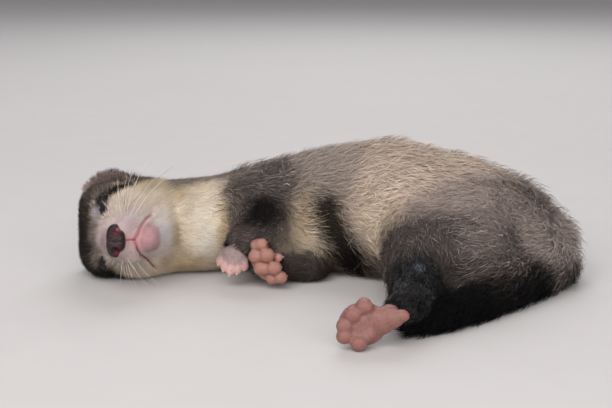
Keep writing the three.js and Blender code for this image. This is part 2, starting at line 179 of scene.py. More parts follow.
def makeWrinkleGroup():
    # the net of fine creases of bare skin, as a normal and as a mask that is 1 in the creases, where shade
    # is painted
    tree, given, out = newGroup(
        "wrinkle", {"Scale": 1400, "Height": 0.4, "Depth": 0.0002},
        {"Normal": "NodeSocketVector", "Crease": "NodeSocketFloat"})
    place = addNode(tree, "ShaderNodeTexCoord")
    cells = addNode(tree, "ShaderNodeTexVoronoi", feature="DISTANCE_TO_EDGE")
    noise = addNode(tree, "ShaderNodeTexNoise", in_Scale=700, in_Detail=4)
    mixed = addNode(tree, "ShaderNodeMath", operation="ADD")
    bump = addNode(tree, "ShaderNodeBump")
    crease = addNode(
        tree, "ShaderNodeMapRange", in_From_Min=0, in_From_Max=0.14, in_To_Min=1, in_To_Max=0)
    wire(
        tree, (place, "Object", cells, "Vector"), (place, "Object", noise, "Vector"),
        (given, "Scale", cells, "Scale"), (cells, "Distance", mixed, 0), (noise, "Fac", mixed, 1),
        (mixed, 0, bump, "Height"), (given, "Height", bump, "Strength"),
        (given, "Depth", bump, "Distance"), (cells, "Distance", crease, "Value"),
        (bump, "Normal", out, "Normal"), (crease, "Result", out, "Crease"))
    return tree


mottleGroup = makeMottleGroup()
wrinkleGroup = makeWrinkleGroup()


def finish(name, colour=None, mottle=(300, 1500, 0.2), wrinkle=None, roughness=0.6, spread=0.1, **shader):
    # one Principled finish: its colour from the piece's tint attribute or one base colour,
    # mottled, with creases where the skin is bare, darkened there with painted shade
    material = bpy.data.materials.new(name)
    material.use_nodes = True
    tree = material.node_tree
    principled = tree.nodes["Principled BSDF"]
    for label, value in shader.items():
        principled.inputs[label.replace("_", " ")].default_value = value
    uneven = addNode(tree, "ShaderNodeGroup", node_tree=mottleGroup)
    for label, value in zip(("Coarse", "Fine", "Amount"), mottle):
        uneven.inputs[label].default_value = value
    shade = addNode(tree, "ShaderNodeMix", data_type="RGBA", blend_type="MULTIPLY", in_Factor=1)
    if colour is None:
        source = addNode(tree, "ShaderNodeAttribute", attribute_name="tint")
        wire(tree, (source, "Color", shade, 6))
    else:
        shade.inputs[6].default_value = (*linear(colour), 1)
    wire(tree, (uneven, "Value", shade, 7))
    result = shade
    if wrinkle:
        folds = addNode(tree, "ShaderNodeGroup", node_tree=wrinkleGroup)
        for label in ("Scale", "Height", "Depth"):
            folds.inputs[label].default_value = wrinkle[label]
        # painted shade: the creases darkened towards the given tone
        amount = addNode(tree, "ShaderNodeMath", operation="MULTIPLY")
        amount.inputs[1].default_value = wrinkle["CreaseShade"]
        result = addNode(tree, "ShaderNodeMix", data_type="RGBA", blend_type="MULTIPLY")
        result.inputs[7].default_value = (*wrinkle["CreaseShadeTone"], 1)
        wire(
            tree, (folds, "Normal", principled, "Normal"), (folds, "Crease", amount, 0),
            (amount, 0, result, "Factor"), (shade, 2, result, 6))
    rough = addNode(
        tree, "ShaderNodeMapRange", in_From_Min=0.8, in_From_Max=1.2, in_To_Min=roughness - spread,
        in_To_Max=roughness + spread)
    wire(
        tree, (result, 2, principled, "Base Color"), (uneven, "Value", rough, "Value"),
        (rough, "Result", principled, "Roughness"))
    return material


# the tone of the painted shade in the creases of paws and ears
pinkCreaseShade = (0.62, 0.36, 0.34)
materials = {
    "skin": finish(
        "downySkin", mottle=(500, 2600, 0.3), roughness=0.7, Specular_IOR_Level=0.25, Sheen_Weight=0.2,
        wrinkle={"Scale": 2600, "Height": 0.35, "Depth": 0.0002, "CreaseShade": 0.15, "CreaseShadeTone": (0.7, 0.62, 0.58)}),
    "coat": finish(
        "softCoat", mottle=(260, 1800, 0.24), roughness=0.72, Specular_IOR_Level=0.06, Sheen_Weight=0.02,
        Sheen_Roughness=0.45),
    "nose": finish(
        "wetNose", mottle=(600, 2600, 0.3), roughness=0.42, Specular_IOR_Level=0.35, Coat_Weight=0.12,
        Coat_Roughness=0.25,
        wrinkle={"Scale": 2100, "Height": 0.7, "Depth": 0.0003, "CreaseShade": 0.5, "CreaseShadeTone": (0.5, 0.35, 0.35)}),
    "paw": finish(
        "barePaw", mottle=(420, 2200, 0.26), roughness=0.5, Specular_IOR_Level=0.4, Subsurface_Weight=0.12,
        Subsurface_Scale=0.002,
        wrinkle={"Scale": 1500, "Height": 0.6, "Depth": 0.0003, "CreaseShade": 0.4, "CreaseShadeTone": pinkCreaseShade}),
    "ear": finish(
        "thinEar", mottle=(500, 2400, 0.3), roughness=0.62, Specular_IOR_Level=0.3, Subsurface_Weight=0.1,
        Subsurface_Scale=0.0015,
        wrinkle={"Scale": 2200, "Height": 0.5, "Depth": 0.0002, "CreaseShade": 0.3, "CreaseShadeTone": pinkCreaseShade}),
    "claw": finish(
        "paleClaw", colour=(222, 205, 188), mottle=(900, 4000, 0.2), roughness=0.3, spread=0.06,
        Specular_IOR_Level=0.5),
    "whiskerPale": finish(
        "paleWhisker", colour=(205, 198, 188), mottle=(300, 900, 0.2), roughness=0.35, spread=0.05),
    "whiskerDark": finish(
        "darkWhisker", colour=(60, 54, 50), mottle=(300, 900, 0.3), roughness=0.35, spread=0.05),
    "floor": finish(
        "paleFloor", colour=(196, 192, 190), mottle=(6, 60, 0.05), roughness=0.8, spread=0.04,
        Specular_IOR_Level=0.2),
}
print("ferret: materials made")


# Floor and light

lightSet = {
    "key": {"place": (-0.35, -0.75, 0.75), "size": 1.0, "power": 11.5, "colour": (1, 0.985, 0.96)},
    "fill": {"place": (0.45, -0.95, 0.26), "size": 1.0, "power": 8, "colour": (0.97, 0.98, 1)},
    "back": {"place": (0.1, 0.8, 0.8), "size": 0.8, "power": 6, "colour": (0.97, 0.98, 1)},
}
stageSet = {"floorHalf": 6, "worldColour": (0.62, 0.62, 0.66), "worldStrength": 0.5}


def makeStage():
    half = stageSet["floorHalf"]
    mesh = bpy.data.meshes.new("floor")
    corners = [(-half, -half, 0), (half, -half, 0), (half, half, 0), (-half, half, 0)]
    mesh.from_pydata(corners, [], [(0, 1, 2, 3)])
    mesh.materials.append(materials["floor"])
    floor = newObject("floor", mesh)
    for name, light in lightSet.items():
        data = bpy.data.lights.new(name, "AREA")
        data.size = light["size"]
        data.energy = light["power"]
        data.color = light["colour"]
        lamp = newObject(name, data)
        lamp.location = light["place"]
        lamp.rotation_euler = (-Vector(light["place"])).to_track_quat("-Z", "Y").to_euler()
    world = bpy.data.worlds.new("studio")
    world.use_nodes = True
    background = world.node_tree.nodes["Background"]
    background.inputs["Color"].default_value = (*stageSet["worldColour"], 1)
    background.inputs["Strength"].default_value = stageSet["worldStrength"]
    bpy.context.scene.world = world
    bpy.context.scene.view_settings.view_transform = "Standard"


makeStage()


# Mesh tools

def meshFrom(name, points, corners, sizes):
    mesh = bpy.data.meshes.new(name)
    mesh.vertices.add(len(points))
    mesh.vertices.foreach_set("co", (np.asarray(points) * mm).astype(np.float32).ravel())
    mesh.loops.add(len(corners))
    mesh.loops.foreach_set("vertex_index", corners.astype(np.int32))
    mesh.polygons.add(len(sizes))
    starts = np.concatenate([[0], np.cumsum(sizes)[:-1]])
    mesh.polygons.foreach_set("loop_start", starts.astype(np.int32))
    mesh.update(calc_edges=True)
    mesh.polygons.foreach_set("use_smooth", np.ones(len(sizes), bool))
    return mesh


def triangleMesh(name, points, triangles):
    return meshFrom(name, points, triangles.ravel(), np.full(len(triangles), 3))


def setTint(mesh, colours):
    # the colour of each point, which the finishes read
    layer = mesh.color_attributes.new("tint", "FLOAT_COLOR", "POINT")
    rgba = np.ones((len(colours), 4), np.float32)
    rgba[:, :3] = colours
    layer.data.foreach_set("color", rgba.ravel())


def dressed(name, mesh, material):
    mesh.materials.append(materials[material])
    return newObject(name, mesh)


def tintedPiece(name, points, triangles, tints, material):
    mesh = triangleMesh(name, points, triangles)
    setTint(mesh, tints)
    return dressed(name, mesh, material)


def arraysOf(mesh):
    points = np.empty(len(mesh.vertices) * 3, np.float32)
    mesh.vertices.foreach_get("co", points)
    mesh.calc_loop_triangles()
    triangles = np.empty(len(mesh.loop_triangles) * 3, np.int32)
    mesh.loop_triangles.foreach_get("vertices", triangles)
    return points.reshape(-1, 3).astype(float) / mm, triangles.reshape(-1, 3)


def edgesOf(triangles):
    pairs = np.concatenate([triangles[:, [0, 1]], triangles[:, [1, 2]], triangles[:, [2, 0]]])
    pairs.sort(axis=1)
    return np.unique(pairs, axis=0)


def normalsOf(points, triangles):
    a, b, c = (points[triangles[:, k]] for k in range(3))
    face = np.cross(b - a, c - a)
    total = np.zeros_like(points)
    for k in range(3):
        for axis in range(3):
            total[:, axis] += np.bincount(triangles[:, k], face[:, axis], len(points))
    return unit(total)


def relaxed(values, edges, rounds, share=0.5, hold=None):
    count = len(values)
    degree = np.maximum(np.bincount(edges.ravel(), minlength=count), 1)[:, None]
    for _ in range(rounds):
        total = np.empty_like(values)
        for axis in range(values.shape[1]):
            total[:, axis] = np.bincount(edges[:, 0], values[edges[:, 1], axis], count)
            total[:, axis] += np.bincount(edges[:, 1], values[edges[:, 0], axis], count)
        step = (total / degree - values) * share
        values = values + (step if hold is None else step * hold[:, None])
    return values


def rounded(points, edges, rounds, hold=None):
    # smoothing that goes out again after each step in, so that thin limbs keep their girth
    for _ in range(rounds):
        points = relaxed(points, edges, 1, 0.5, hold)
        points = relaxed(points, edges, 1, -0.49, hold)
    return points


def voxelled(mesh, voxel):
    piece = newObject("draft", mesh)
    remesh = piece.modifiers.new("remesh", "REMESH")
    remesh.mode = "VOXEL"
    remesh.voxel_size = voxel * mm
    evaluated = piece.evaluated_get(bpy.context.evaluated_depsgraph_get())
    result = bpy.data.meshes.new_from_object(evaluated)
    bpy.data.objects.remove(piece)
    return result


def largestPart(points, triangles):
    # keeps the biggest connected surface, so that nothing sealed inside is left
    edges = edgesOf(triangles)
    label = np.arange(len(points))
    # each point takes the lowest number that its surface holds
    while True:
        low = np.minimum(label[edges[:, 0]], label[edges[:, 1]])
        fresh = label.copy()
        np.minimum.at(fresh, edges[:, 0], low)
        np.minimum.at(fresh, edges[:, 1], low)
        fresh = fresh[fresh]
        if (fresh == label).all():
            break
        label = fresh
    keep = label == np.bincount(label).argmax()
    index = np.cumsum(keep) - 1
    return points[keep], index[triangles[keep[triangles].all(axis=1)]]


def unwrap(piece):
    # gives the piece its baking map, and returns it as corners of triangles
    bpy.ops.object.select_all(action="DESELECT")
    piece.select_set(True)
    bpy.context.view_layer.objects.active = piece
    bpy.ops.object.mode_set(mode="EDIT")
    bpy.ops.mesh.select_all(action="SELECT")
    bpy.ops.uv.smart_project(angle_limit=math.radians(70), island_margin=0.002)
    bpy.ops.object.mode_set(mode="OBJECT")
    layer = piece.data.uv_layers.active
    layer.name = "OFBake"
    uv = np.empty(len(piece.data.loops) * 2, np.float32)
    layer.uv.foreach_get("vector", uv)
    return uv.reshape(-1, 3, 2)


# The lie of the coat: each part of the body is a path of (x, y, z, radius) that the hair follows

coatPaths = {
    "neck": {
        "stations": [(-65.4, 27.2, 16.4, 16.6), (-49.4, 30.2, 16, 16.4), (-33.4, 35.2, 16.4, 17)],
        "length": (3.4, 5.4), "depth": (1.3, 2.0), "lift": (20, 22), "width": (0.2, 0.24), "droop": 0.1},
    "trunk": {
        "stations": [
            (-31.4, 36.2, 16.4, 17.2), (-15.4, 38.7, 18.4, 19.6), (4.6, 38.2, 20.4, 22.6),
            (24.6, 35.2, 21.8, 24.2), (46.6, 28.2, 19.8, 22), (65.6, 22.2, 16, 17.8),
            (77.6, 18.2, 11.8, 13.4)],
        "length": (5.4, 7.4), "depth": (2.0, 2.3), "lift": (24, 28), "width": (0.26, 0.28), "droop": 0.35},
    "tail": {
        "stations": [
            (79.6, 15.2, 8.8, 9.6), (80.6, 6.2, 7.2, 7.8), (72.6, -4.8, 5.6, 6.8), (62.1, -16.3, 5, 6.6),
            (49.6, -28.3, 4.6, 6.4), (37.6, -38.8, 4.2, 5.8), (26.6, -47.3, 3.6, 4)],
        "length": (6.6, 6.0), "depth": (2.0, 1.6), "lift": (18, 16), "width": (0.28, 0.26), "droop": 0.1},
    "hindLegLeft": {
        "stations": [
            (65.7, 15.2, 18.3, 16), (49.7, 6.2, 21.3, 15.6), (30.7, -3.8, 20.3, 11.8),
            (28.7, -17.8, 16.3, 10.2), (27.7, -32.8, 12.8, 8.2), (25.2, -46.3, 10.8, 6),
            (19.7, -54.8, 9.8, 5)],
        "length": (6.6, 2.4), "depth": (2.1, 0.8), "lift": (22, 14), "width": (0.26, 0.18), "droop": 0.1},
    "hindLegRight": {
        "stations": [
            (62.6, 14.2, 9.8, 11.5), (44.6, 3.2, 8.3, 10.5), (35.6, -1.8, 7.2, 8.8),
            (47.6, -10.3, 5.2, 6.2), (42.6, -14.8, 4.2, 5)],
        "length": (5.4, 2.4), "depth": (1.8, 0.8), "lift": (18, 14), "width": (0.26, 0.18), "droop": 0.1},
    "foreLegLeft": {
        "stations": [
            (-30.4, 28.2, 22.2, 11.6), (-23.4, 18.2, 21.2, 9.6), (-20.9, 12.2, 19, 7.8),
            (-28.9, 7.7, 16.2, 6), (-32.4, 6.2, 13.6, 5.2)],
        "length": (5.0, 2.0), "depth": (1.7, 0.7), "lift": (20, 16), "width": (0.22, 0.16), "droop": 0.1},
    "foreLegRight": {
        "stations": [
            (-21.4, 29.2, 8.3, 10), (-7.4, 18.2, 5.8, 7.4), (-5.4, 12.7, 5.4, 6.4), (-15.4, 9.7, 7, 5.6),
            (-21.4, 7.7, 8.4, 5.2)],
        "length": (4.4, 2.0), "depth": (1.5, 0.7), "lift": (18, 14), "width": (0.22, 0.16), "droop": 0.1},
}
headCoat = {
    # an ellipsoid about the head's middle, on which the hair leads away from the nose
    "radii": (27, 17, 19), "from": (26, -2, 0), "ends": (24, 2), "length": (1.3, 3.4),
    "depth": (0.45, 1.2), "lift": (24, 26), "width": (0.12, 0.19)}
coatParts = {"head": headCoat, **coatPaths}
pathNames = list(coatParts)
pathGrip = 9        # how sharply one part of the body gives way to the next


def followPaths(points):
    # for each point, and in a column for each part of the body: the part's weight there,
    # how far along the part the point lies, and the way the hair runs
    count = len(points)
    near = np.empty((count, len(pathNames)))
    fraction = np.zeros((count, len(pathNames)))
    lie = np.zeros((count, len(pathNames), 3))
    local = headLocal(points)
    near[:, 0] = lengthOf(local / headCoat["radii"])
    fraction[:, 0] = smoothStep(*headCoat["ends"], local[:, 0])
    lie[:, 0] = unit(local - headCoat["from"]) @ headAxes
    for column, name in enumerate(coatPaths, start=1):
        stations = np.array(coatPaths[name]["stations"])
        best = np.full(count, 1e9)
        parts = len(stations) - 1
        for k in range(parts):
            a, b = stations[k], stations[k + 1]
            along = b[:3] - a[:3]
            t = np.clip((points - a[:3]) @ along / (along @ along), 0, 1)
            radius = a[3] + (b[3] - a[3]) * t
            distance = lengthOf(points - a[:3] - t[:, None] * along) / radius
            closer = distance < best
            best[closer] = distance[closer]
            fraction[closer, column] = ((k + t) / parts)[closer]
            lie[closer, column] = unit(along)
        near[:, column] = best
        lie[:, column, 2] -= coatPaths[name]["droop"]
    weight = np.exp(-pathGrip * (near - near.min(axis=1, keepdims=True)))
    weight /= weight.sum(axis=1, keepdims=True)
    return weight, fraction, lie


def measure(label, weight, fraction):
    # one of the coat's measures, from the parts that a point belongs to
    total = np.zeros(len(weight))
    for column, name in enumerate(pathNames):
        first, last = coatParts[name][label]
        total += weight[:, column] * (first + (last - first) * fraction[:, column])
    return total


# Markings: named colours, laid on as soft ellipsoids (place, radii, colour, strength, softness)

hues = tonesOf({
    "cream": (214, 196, 172), "throat": (236, 220, 200), "straw": (190, 156, 104), "fawnShade": (150, 124, 92),
    "mask": (48, 41, 38), "maskDeep": (22, 17, 16), "temple": (92, 83, 78), "muzzle": (200, 182, 180),
    "white": (232, 222, 220), "lip": (170, 122, 126), "bridge": (172, 134, 138), "lidPale": (160, 152, 156),
    "nape": (100, 89, 82), "sable": (82, 73, 69), "sableDeep": (20, 17, 17), "grizzle": (152, 139, 130),
    "tan": (198, 176, 159), "chest": (188, 170, 148), "gold": (180, 152, 112), "fold": (17, 14, 12),
    "haunch": (128, 116, 110), "haunchPale": (172, 156, 147), "knee": (76, 68, 65), "arm": (44, 38, 36),
    "rump": (136, 125, 119), "black": (7, 7, 7), "blueSheen": (104, 108, 124)})
# colours at the first and the last end of each part
pathHues = {
    "head": ("muzzle", "cream"), "neck": ("cream", "cream"), "trunk": ("grizzle", "haunch"),
    "tail": ("sableDeep", "black"), "hindLegLeft": ("haunch", "sableDeep"),
    "hindLegRight": ("haunch", "sableDeep"), "foreLegLeft": ("sable", "sableDeep"),
    "foreLegRight": ("sable", "sableDeep")}
# marks of the head, in its axes, the same on both sides
headMarks = [
    ((-5, 17, 0), (28, 12.8, 27), "mask", 0.97, 0.26),
    ((-2, 12, 17), (14, 11, 10), "mask", 0.94, 0.25),
    ((-4, -2, 20), (12, 8, 4), "mask", 0.85, 0.4),
    ((4.5, 9.0, 14), (6, 5, 6), "temple", 0.9, 0.5),
    ((23.5, -5, 0), (4.5, 5, 6.5), "bridge", 0.5, 0.5),
    ((25, 3, 0), (4, 2.6, 5.5), "bridge", 0.75, 0.4),
    ((20, -11.8, 0.4), (6, 4.6, 5.2), "lip", 0.8, 0.35),
    ((14.6, -16.2, 0), (5, 2.4, 9), "white", 0.97, 0.4),
    ((12, -14, 5), (6, 3, 5), "white", 0.4, 0.6),
    ((-20, 0, 0), (15, 18, 20), "nape", 0.95, 0.35),
    ((-4, 15, 0), (22, 9, 20), "maskDeep", 0.75, 0.5),
    ((0, -1.5, 18.6), (3, 3.4, 2.6), "maskDeep", 0.95, 0.4),
]
# marks of the head that differ from side to side
sideMarks = [
    ((12, 7.8, 6.9), (3.0, 1.7, 2.2), "lidPale", 0.95, 0.4),
    ((8.5, 8, -13.6), (8, 7, 6), "maskDeep", 0.9, 0.4),
    ((13, 10.4, -3.6), (6, 4.6, 8), "temple", 0.75, 0.6),
    ((9, 13, -4), (8, 4, 9), "maskDeep", 0.8, 0.5),
    # fawnShade: painted brownish shade in the folds of the cheeks and under the jaw
    ((3, -7, 16), (5, 3.4, 3), "fawnShade", 0.45, 0.7),
    ((-2, -13, 17), (6, 4, 4), "fawnShade", 0.5, 0.7),
    ((7, -14.4, -11), (6, 3, 4), "fawnShade", 0.5, 0.6),
    ((8.6, -18.6, -3), (5, 2.4, 9), "fawnShade", 0.6, 0.6),
]
# marks of the body, at places in the object's own frame
bodyMarks = [
    ((-44.5, 13, 16), (6.5, 12, 18), "throat", 0.9, 0.5),
    # the lower throat: cream, painted paler still as painted light on this down-facing part
    ((-42, 12, 8), (9, 9, 6), "throat", 0.8, 0.5),
    ((-52, 46, 30), (24, 15, 13), "nape", 0.95, 0.4),
    ((-56, 42, 20), (18, 11, 20), "nape", 0.95, 0.4),
    ((-53, 50, 12), (24, 16, 16), "nape", 0.9, 0.4),
    ((26, 16, 38), (36, 30, 16), "tan", 0.85, 0.5),
    ((-2, 30, 34), (13, 22, 16), "grizzle", 0.9, 0.5),
    ((-5, 15, 17), (12.5, 14, 13), "chest", 0.95, 0.35),
    ((-10.5, 15, 26), (3, 8, 8), "gold", 0.5, 0.6),
    ((20, 6, 24), (14, 18, 19), "tan", 0.95, 0.35),
    ((14, 30, 4), (40, 24, 8), "tan", 0.4, 0.5),
    ((-26, 26, 28), (13.5, 30, 26), "sable", 0.9, 0.25),
    ((-23, 10.5, 28), (7.4, 9, 9), "sableDeep", 0.97, 0.5),
    # fold: painted shade, with some dark fur, where the chest bends into the belly
    ((7, 12, 8), (6, 6, 7), "fold", 0.85, 0.5),
    ((-9, 7, 5.5), (15, 9, 7), "arm", 0.97, 0.3),
    ((52, -4, 20), (23, 22, 18), "haunch", 0.95, 0.35),
    ((52, 2, 36), (18, 16, 10), "haunchPale", 0.8, 0.6),
    ((80, 4, 20), (14, 14, 10), "haunchPale", 0.6, 0.6),
    ((29, -18, 21), (12, 10, 10), "knee", 0.95, 0.4),
    ((18, 4, 7), (8, 11, 7.5), "knee", 0.9, 0.4),
    ((48, -22, 12), (22, 11, 9), "knee", 0.8, 0.5),
    ((28, -42, 14), (11, 19, 14), "sableDeep", 0.95, 0.4),
    ((32, -38, 11), (11, 17, 13), "black", 0.75, 0.5),
    ((38, -20, 27), (12, 10, 10), "knee", 0.7, 0.5),
    # cream on the lower flank, painted paler in part as painted light on this down-facing part
    ((16, 3, 23), (9, 10, 9), "cream", 0.9, 0.6),
    ((84, 4, 10), (12, 12, 12), "rump", 0.6, 0.5),
    ((87, 4, 3), (8, 14, 5), "sable", 0.7, 0.5),
    ((12, 2, 26), (7, 5, 5), "cream", 0.4, 0.7),
    ((4, 6, 24), (6, 4, 5), "straw", 0.3, 0.7),
    ((24, -2, 28), (5, 4, 7), "straw", 0.25, 0.7),
    # painted brownish shade in the fold under the jaw
    ((-56, 9.6, 12), (3.6, 5, 8), "fawnShade", 0.45, 0.6),
    # a small bluish spot on the dark shank: painted sheen on the fur, with a little bare skin
    ((28.6, -36.6, 19), (1.4, 2.4, 3.2), "blueSheen", 0.5, 0.7),
    ((-55, 19, 31), (2.4, 3, 3), "straw", 0.5, 0.6),
    ((-52, 14, 5), (7, 6, 4), "straw", 0.6, 0.6),
    ((-39.6, 13, 19), (2.2, 8, 11), "straw", 0.5, 0.6),
]
# bands round a line: (line, radius, colour, strength, softness), placed as the marks are
headBands = [
    ([(12.2, 6.4, 10.8), (9.4, 6.3, 12.6), (7.2, 4.6, 13.8), (6, 2.6, 15), (5, -1, 16.4), (1, -4.2, 17.8),
      (-8, -7, 18.4)], 2.2, "maskDeep", 0.98, 0.3)]
bodyBands = [
    # painted brownish shade along the fold between the jaw and the neck
    ([(-52.7, 10.5, 21.5), (-52.2, 10.8, 14), (-52.4, 12.9, 8)], 2.0, "fawnShade", 0.55, 0.7),
    # fold: painted shade, with some dark fur, along the bend from the chest into the belly
    ([(-2.6, 15.6, 26), (0.4, 13.2, 19), (4.4, 12, 12.5), (8, 13, 5)], 6.2, "fold", 0.97, 0.6),
    ([(-64, 22, 36), (-50, 33, 35), (-36, 36, 34.5)], 6.2, "nape", 0.95, 0.4),
    ([(72, -4, 4), (49.6, -28.3, 4), (26.6, -47.3, 4)], 8.2, "black", 0.97, 0.4)]
# the borders of the markings wander by this share of a mark's size, along two waves;
# marks of the body are held off the head
borderSet = {
    "wave": 0.12, "first": (0.9, 0.5, 0.7), "second": (-0.4, 0.8, 0.6), "head": (0.15, 0.5),
    "bodyOffHead": 0.9}
farAway = 99.0        # a distance beyond the reach of every line


def distanceTo(line, points):
    line = np.asarray(line, float)
    best = np.full(len(points), farAway)
    for a, b in zip(line[:-1], line[1:]):
        along = b - a
        t = np.clip((points - a) @ along / (along @ along + 1e-9), 0, 1)
        best = np.minimum(best, lengthOf(points - a - t[:, None] * along))
    return best


def coatTint(points, weight, fraction, mixed=0):
    # `mixed` strays each hair a little across the borders of the markings
    tints = np.zeros((len(points), 3))
    for column, name in enumerate(pathNames):
        first, last = (hues[hue] for hue in pathHues[name])
        tints += weight[:, column, None] * (first + (last - first) * fraction[:, column, None])
    local = headLocal(points)
    isHead = smoothStep(*borderSet["head"], weight[:, 0])
    wave = borderSet["wave"] * np.sin(points @ borderSet["first"]) * np.sin(points @ borderSet["second"])
    wave = wave + mixed
    for marks, bands, place, share in (
            (headMarks, headBands, mirrored(local), isHead), (sideMarks, [], local, isHead),
            (bodyMarks, bodyBands, points, 1 - borderSet["bodyOffHead"] * isHead)):
        reaches = [(lengthOf((place - mark[0]) / mark[1]), mark[2:]) for mark in marks]
        reaches += [(distanceTo(band[0], place) / band[1], band[2:]) for band in bands]
        for reach, (hue, strength, softness) in reaches:
            amount = strength * share * smoothStep(1 + softness, 1 - softness, reach + wave)
            blend(tints, hues[hue], amount)
    return tints


# Skin: the flesh solids joined in one closed surface, rounded, and drawn in by the coat's depth

skinNodes = [
    "head", "neck", "torso", "foreleg_left", "foreleg_right", "hindleg_left", "hindleg_right", "tail"]
skinSet = {
    "voxel": 0.95, "swell": 0.25, "soften": 7, "round": 40, "settle": 3, "even": 5, "floorGap": 0.25,
    # where the face ends and the body begins, ahead of and away from the head's middle,
    # and how much less the body is drawn in
    "faceEnds": (8, -2), "headEnds": (26, 34), "plump": 0.6,
    # creases filled in: place, reach and rounds of smoothing
    "filled": [((64, -12, 22), 11, 200), ((74, 16, 32), 12, 140)],
    # the face is split finer ahead of, below and within these, and this near to its lines,
    # and then evened, from these distances on and up to these
    "fine": (1, 13, 32), "fineLine": 2.6, "evenFrom": (0, 4), "evenTo": (34, 30)}
# Lines drawn on the face, in the head's own axes, and the soft forms beside them
faceLines = {
    "mouthLeft": [
        (22.2, -7.3, 0), (21.8, -7.9, 1.2), (20.5, -8.3, 3.4), (18.6, -9.1, 4.9), (15.3, -9.7, 6.4),
        (11.6, -11, 7.3)],
    "mouthRight": [
        (22.2, -7.3, 0), (21.8, -7.8, -3.2), (19.1, -8.6, -5.8), (15, -8.9, -7.6), (11.7, -9.4, -8.8),
        (8.3, -10.4, -11.2), (5.9, -11.4, -13.1)],
    "philtrum": [(25.8, -4.6, 0.2), (24.2, -6, 0.1), (22.2, -7.3, 0)],
    "lidLeft": [(8.0, 5.8, 13.4), (10.9, 6.2, 12.1), (12.2, 6.3, 11.0), (12.0, 5.9, 9.4), (12.6, 5.5, 7.6)],
}
faceLines["lidRight"] = [(x, y, -z) for x, y, z in faceLines["lidLeft"]]
lineSet = {
    "mouthWidth": 0.46, "mouthDepth": 0.65, "lipOut": 1.2, "lipWidth": 0.8, "lipHeight": 0.4,
    "philtrumWidth": 0.34, "philtrumDepth": 0.45, "lidWidth": 0.7, "lidDepth": 1.1, "lidHeight": 0.4,
    "lidOut": 1.1, "socketOut": 2.5, "socketDepth": 0.25, "rimWidth": 0.6, "samples": 34,
    "smoothed": 4, "faceReach": 34, "fade": 4,
    # the mouth is shallower by this share on the left side, and how far out that begins
    "leftShallower": 0.6, "left": (1.5, 3.5)}
faceForms = [
    # (middle, radius, height) of each soft swelling, or hollow where the height is negative
    ((11.2, 6.8, 11.0), 3.2, 0.8), ((21.6, -11.6, 0), 3.6, 0.9), ((21.0, -5.0, 5.6), 3.4, 0.55),
    ((6, -13, 8), 5, 0.5), ((14.5, 3.6, 7), 3, -0.3), ((18.4, -16, 0), 3.8, 0.8),
    ((12, -15, 5), 3.6, 0.5)]
jawFold = {
    "line": [(-55.5, 15.5, 30), (-52.9, 11, 22), (-52.3, 10.8, 15), (-52.6, 12.6, 8)], "width": 2.6,
    "depth": 1.1}
padPress = {"up": -1.4, "height": 3.7, "across": 6.1, "square": 2.6, "from": 18, "level": 24.9, "soft": 0.35}
faceTints = tonesOf({
    "mouth": (116, 66, 66), "mouthSoft": (162, 110, 114), "mouthSide": (186, 132, 134),
    "philtrum": (150, 92, 92), "lid": (16, 10, 11), "lidSide": (66, 55, 54)})
# (line, colour, distances where it begins and is full, strength)
faceBlends = [
    ("mouth", "mouthSide", 2.4, 0.5, 0.75), ("mouth", "mouthSoft", 1.0, 0.2, 0.65),
    ("mouthRight", "mouth", 0.55, 0.2, 0.8), ("philtrum", "mouthSide", 3.4, 0.4, 0.65),
    ("philtrum", "philtrum", 0.5, 0.2, 0.9), ("lid", "lidSide", 2.8, 1.3, 0.85),
    ("lid", "lid", 1.7, 1.1, 1.0)]
skinShade = 0.85        # the skin beside the coat, painted this much darker as shade under the hair
drawn = {}        # the lines of the face as they lie on the skin


def drawOn(tree, line):
    # a face line in even steps, laid on the skin
    line = np.asarray(line, float)
    steps = np.concatenate([[0], np.cumsum(lengthOf(np.diff(line, axis=0)))])
    at = np.linspace(0, steps[-1], lineSet["samples"])
    dense = np.stack([np.interp(at, steps, line[:, k]) for k in range(3)], axis=1)
    for _ in range(lineSet["smoothed"]):
        dense[1:-1] = (dense[:-2] + dense[1:-1] + dense[2:]) / 3
    places = [tree.find_nearest(Vector(inHead(spot) * mm))[0] for spot in dense]
    return headLocal(np.array(places) / mm)


def faceDistances(local):
    # distances to the mouth, the philtrum and the closed lids, far away off the face
    near = lengthOf(local) < lineSet["faceReach"]
    found = {}
    for label, names in (
            ("mouth", ("mouthLeft", "mouthRight")), ("mouthRight", ("mouthRight",)),
            ("philtrum", ("philtrum",)), ("lid", ("lidLeft", "lidRight"))):
        distance = np.full(len(local), farAway)
        distance[near] = np.min([distanceTo(drawn[name], local[near]) for name in names], axis=0)
        found[label] = distance
    return found


def finerFaces(mesh, chosen):
    # splits the chosen faces once, by a rule on their middles
    shape = bmesh.new()
    shape.from_mesh(mesh)
    shape.faces.ensure_lookup_table()
    middles = np.array([face.calc_center_median() for face in shape.faces]) / mm
    inside = chosen(middles)
    edges = {edge for face, pick in zip(shape.faces, inside) if pick for edge in face.edges}
    bmesh.ops.subdivide_edges(shape, edges=list(edges), cuts=1, use_grid_fill=True)
    shape.to_mesh(mesh)
    shape.free()


def joinedFlesh():
    joined = bmesh.new()
    for name in [*skinNodes, "nose"]:
        part = bmesh.new()
        part.from_mesh(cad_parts[name].data)
        bmesh.ops.remove_doubles(part, verts=part.verts, dist=1e-6)
        part.normal_update()
        for vertex in part.verts:
            vertex.co += vertex.normal * skinSet["swell"] * mm
        copy = bpy.data.meshes.new("part")
        part.to_mesh(copy)
        joined.from_mesh(copy)
        part.free()
    draft = bpy.data.meshes.new("flesh")
    joined.to_mesh(draft)
    return draft


def onFace(middles):
    local = headLocal(middles)
    front, top, reach = skinSet["fine"]
    return (local[:, 0] > front) & (local[:, 1] < top) & (lengthOf(local) < reach)


def onLines(middles):
    local = headLocal(middles)
    close = lengthOf(local) < lineSet["faceReach"]
    picked = np.zeros(len(local), bool)
    for line in faceLines.values():
        picked[close] |= distanceTo(line, local[close]) < skinSet["fineLine"]
    return picked


